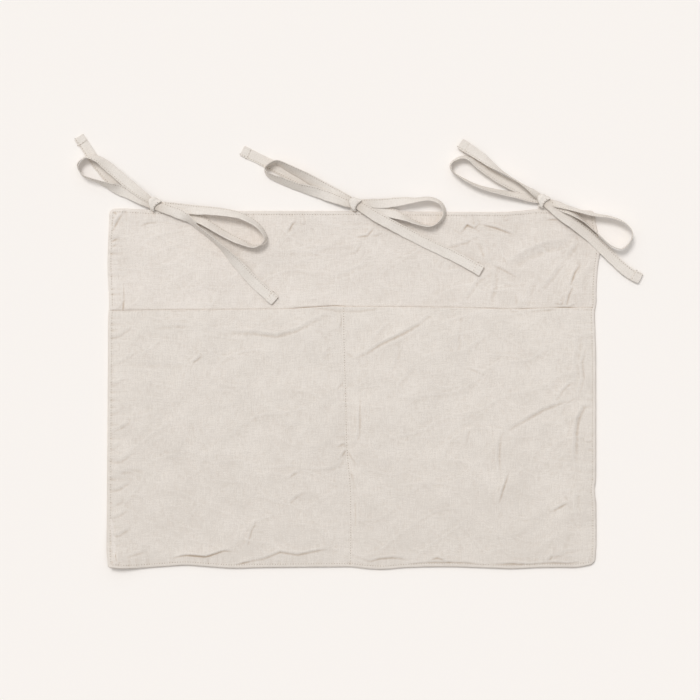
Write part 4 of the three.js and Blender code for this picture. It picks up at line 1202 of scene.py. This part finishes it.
for piece, slot, *nodes in (
        (panel_back, "back_cloth", "back_cloth"), (panel_front, "front_cloth", "front_cloth"),
        (pocket_margin, "pocket_cloth", "pocket_border"), (divider_strip, "pocket_cloth", "pocket_border"),
        (band_stitches, "thread", "band_stitching"), (pocket_stitches, "thread", "pocket_stitching"),
        (divider_stitches, "thread", "divider_stitching"), (back_stitches, "thread", "band_stitching"),
        (knot_stitches, "thread", *[f"{side}_knot" for side in KNOTS])):
    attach(piece, ROOT)
    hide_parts(*nodes)
for piece in (panel_back, panel_front):
    sheet(piece, 2 * HALF_WIDTH, 2 * HALF_HEIGHT, held="laid")
for piece, side, seam, middle, width in pocket_pieces:
    seam * METRE
    middle * METRE
    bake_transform(piece)
    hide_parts(f"{side}_pocket_front")
    sheet(piece, width, MOUTH - pocket_low, held="laid", rests_on=["panel_front"])
# The sewn margin is a strip down one side, along the bottom and up the other, with its edge turned in
margin_length = 2 * (HALF_WIDTH + HALF_HEIGHT + MOUTH - MARGIN_WIDTH)
sheet(pocket_margin, margin_length, 10.0, held="laid", area=margin_length * MARGIN_CUT * METRE ** 2,
      rests_on=["panel_front"], with_pieces=[divider_strip])
for knot, base, side in knot_pieces:
    for piece, node, width, length, held in (
            (knot, f"{side}_knot", WRAP_WIDTH, WRAP_LENGTH, "folded"),
            (base, f"{side}_tie_base", TIE_WIDTH, SEWN_END_LENGTH, "laid")):
        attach(piece, ROOT)
        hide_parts(node)
        sheet(piece, width, length, held=held)


def bend_with_bow(piece, side, half):
    """Bakes the piece's placement into its mesh. Where this half of the bow leaves the knot's face and where
    its bend ends are worked out, and not used.
    """
    knot_x, knot_y, turn = KNOTS[side]
    sign = -1.0 if half == "upper" else 1.0
    start, end = ([(knot_x + sign * reach * math.cos(turn)) * METRE,
                   (knot_y + sign * reach * math.sin(turn)) * METRE, 0.0]
                  for reach in (KNOT_FACE, KNOT_FACE + BEND_LENGTH))
    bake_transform(piece)


for piece, name, length in tie_pieces:
    side, half, form = name.split("_")
    bend_with_bow(piece, side, half)
    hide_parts(name)
    sheet(piece, TIE_WIDTH, length, held="laid", rests_on=["panel_front"])
for piece, side, half in bow_stitches:
    bend_with_bow(piece, side, half)


# Floor and light

FLOOR_COLOUR = linear(248.4, 243.5, 239)
FLOOR_HALF = 4.0
floor_mesh = bpy.data.meshes.new("floor")
floor_mesh.from_pydata([(-FLOOR_HALF, -FLOOR_HALF, 0), (FLOOR_HALF, -FLOOR_HALF, 0),
                        (FLOOR_HALF, FLOOR_HALF, 0), (-FLOOR_HALF, FLOOR_HALF, 0)], [], [(0, 1, 2, 3)])
floor = placed("floor", floor_mesh)
floor_finish, floor_graph = finish_of("floor_paper")
paper = floor_graph.node("ShaderNodeBsdfDiffuse", {"Color": FLOOR_COLOUR})
floor_graph.node("ShaderNodeOutputMaterial", {"Surface": paper})
floor_mesh.materials.append(floor_finish)

# A lamp behind a small screen, a broad soft screen on the same side, and the bright room all round:
# each as its share of the light on the floor, the width it is seen at, its height and its heading
SKY_SHARE = 0.43
LAMPS = {
    "lamp": (0.4, 20, 62, 122),
    "soft_screen": (0.17, 100, 72, 112),
}
for name, (share, width, height, heading) in LAMPS.items():
    lamp = placed(name, bpy.data.lights.new(name, "SUN"))
    elevation, turn = math.radians(height), math.radians(heading)
    lamp.data.angle = math.radians(width)
    lamp.data.energy = share * math.pi / math.sin(elevation)
    towards = Vector((math.cos(turn) * math.cos(elevation), math.sin(turn) * math.cos(elevation),
                      math.sin(elevation)))
    lamp.rotation_euler = towards.to_track_quat("Z", "Y").to_euler()
world = bpy.data.worlds.new("soft_sky")
bpy.context.scene.world = world
world.use_nodes = True
world.node_tree.nodes.clear()
sky_graph = Graph(world.node_tree)
camera_ray, glossy_ray, through_ray = (sky_graph.node("ShaderNodeLightPath", output=name) for name in (
    "Is Camera Ray", "Is Glossy Ray", "Is Transmission Ray"))
sky_light = sky_graph.node("ShaderNodeBackground", {"Color": (1, 1, 1, 1), "Strength": SKY_SHARE})
sky_seen = sky_graph.node("ShaderNodeBackground", {"Color": FLOOR_COLOUR, "Strength": 1.0})
seen = camera_ray + glossy_ray + through_ray
sky = sky_graph.node("ShaderNodeMixShader", {0: seen, 1: sky_light, 2: sky_seen})
sky_graph.node("ShaderNodeOutputWorld", {"Surface": sky})
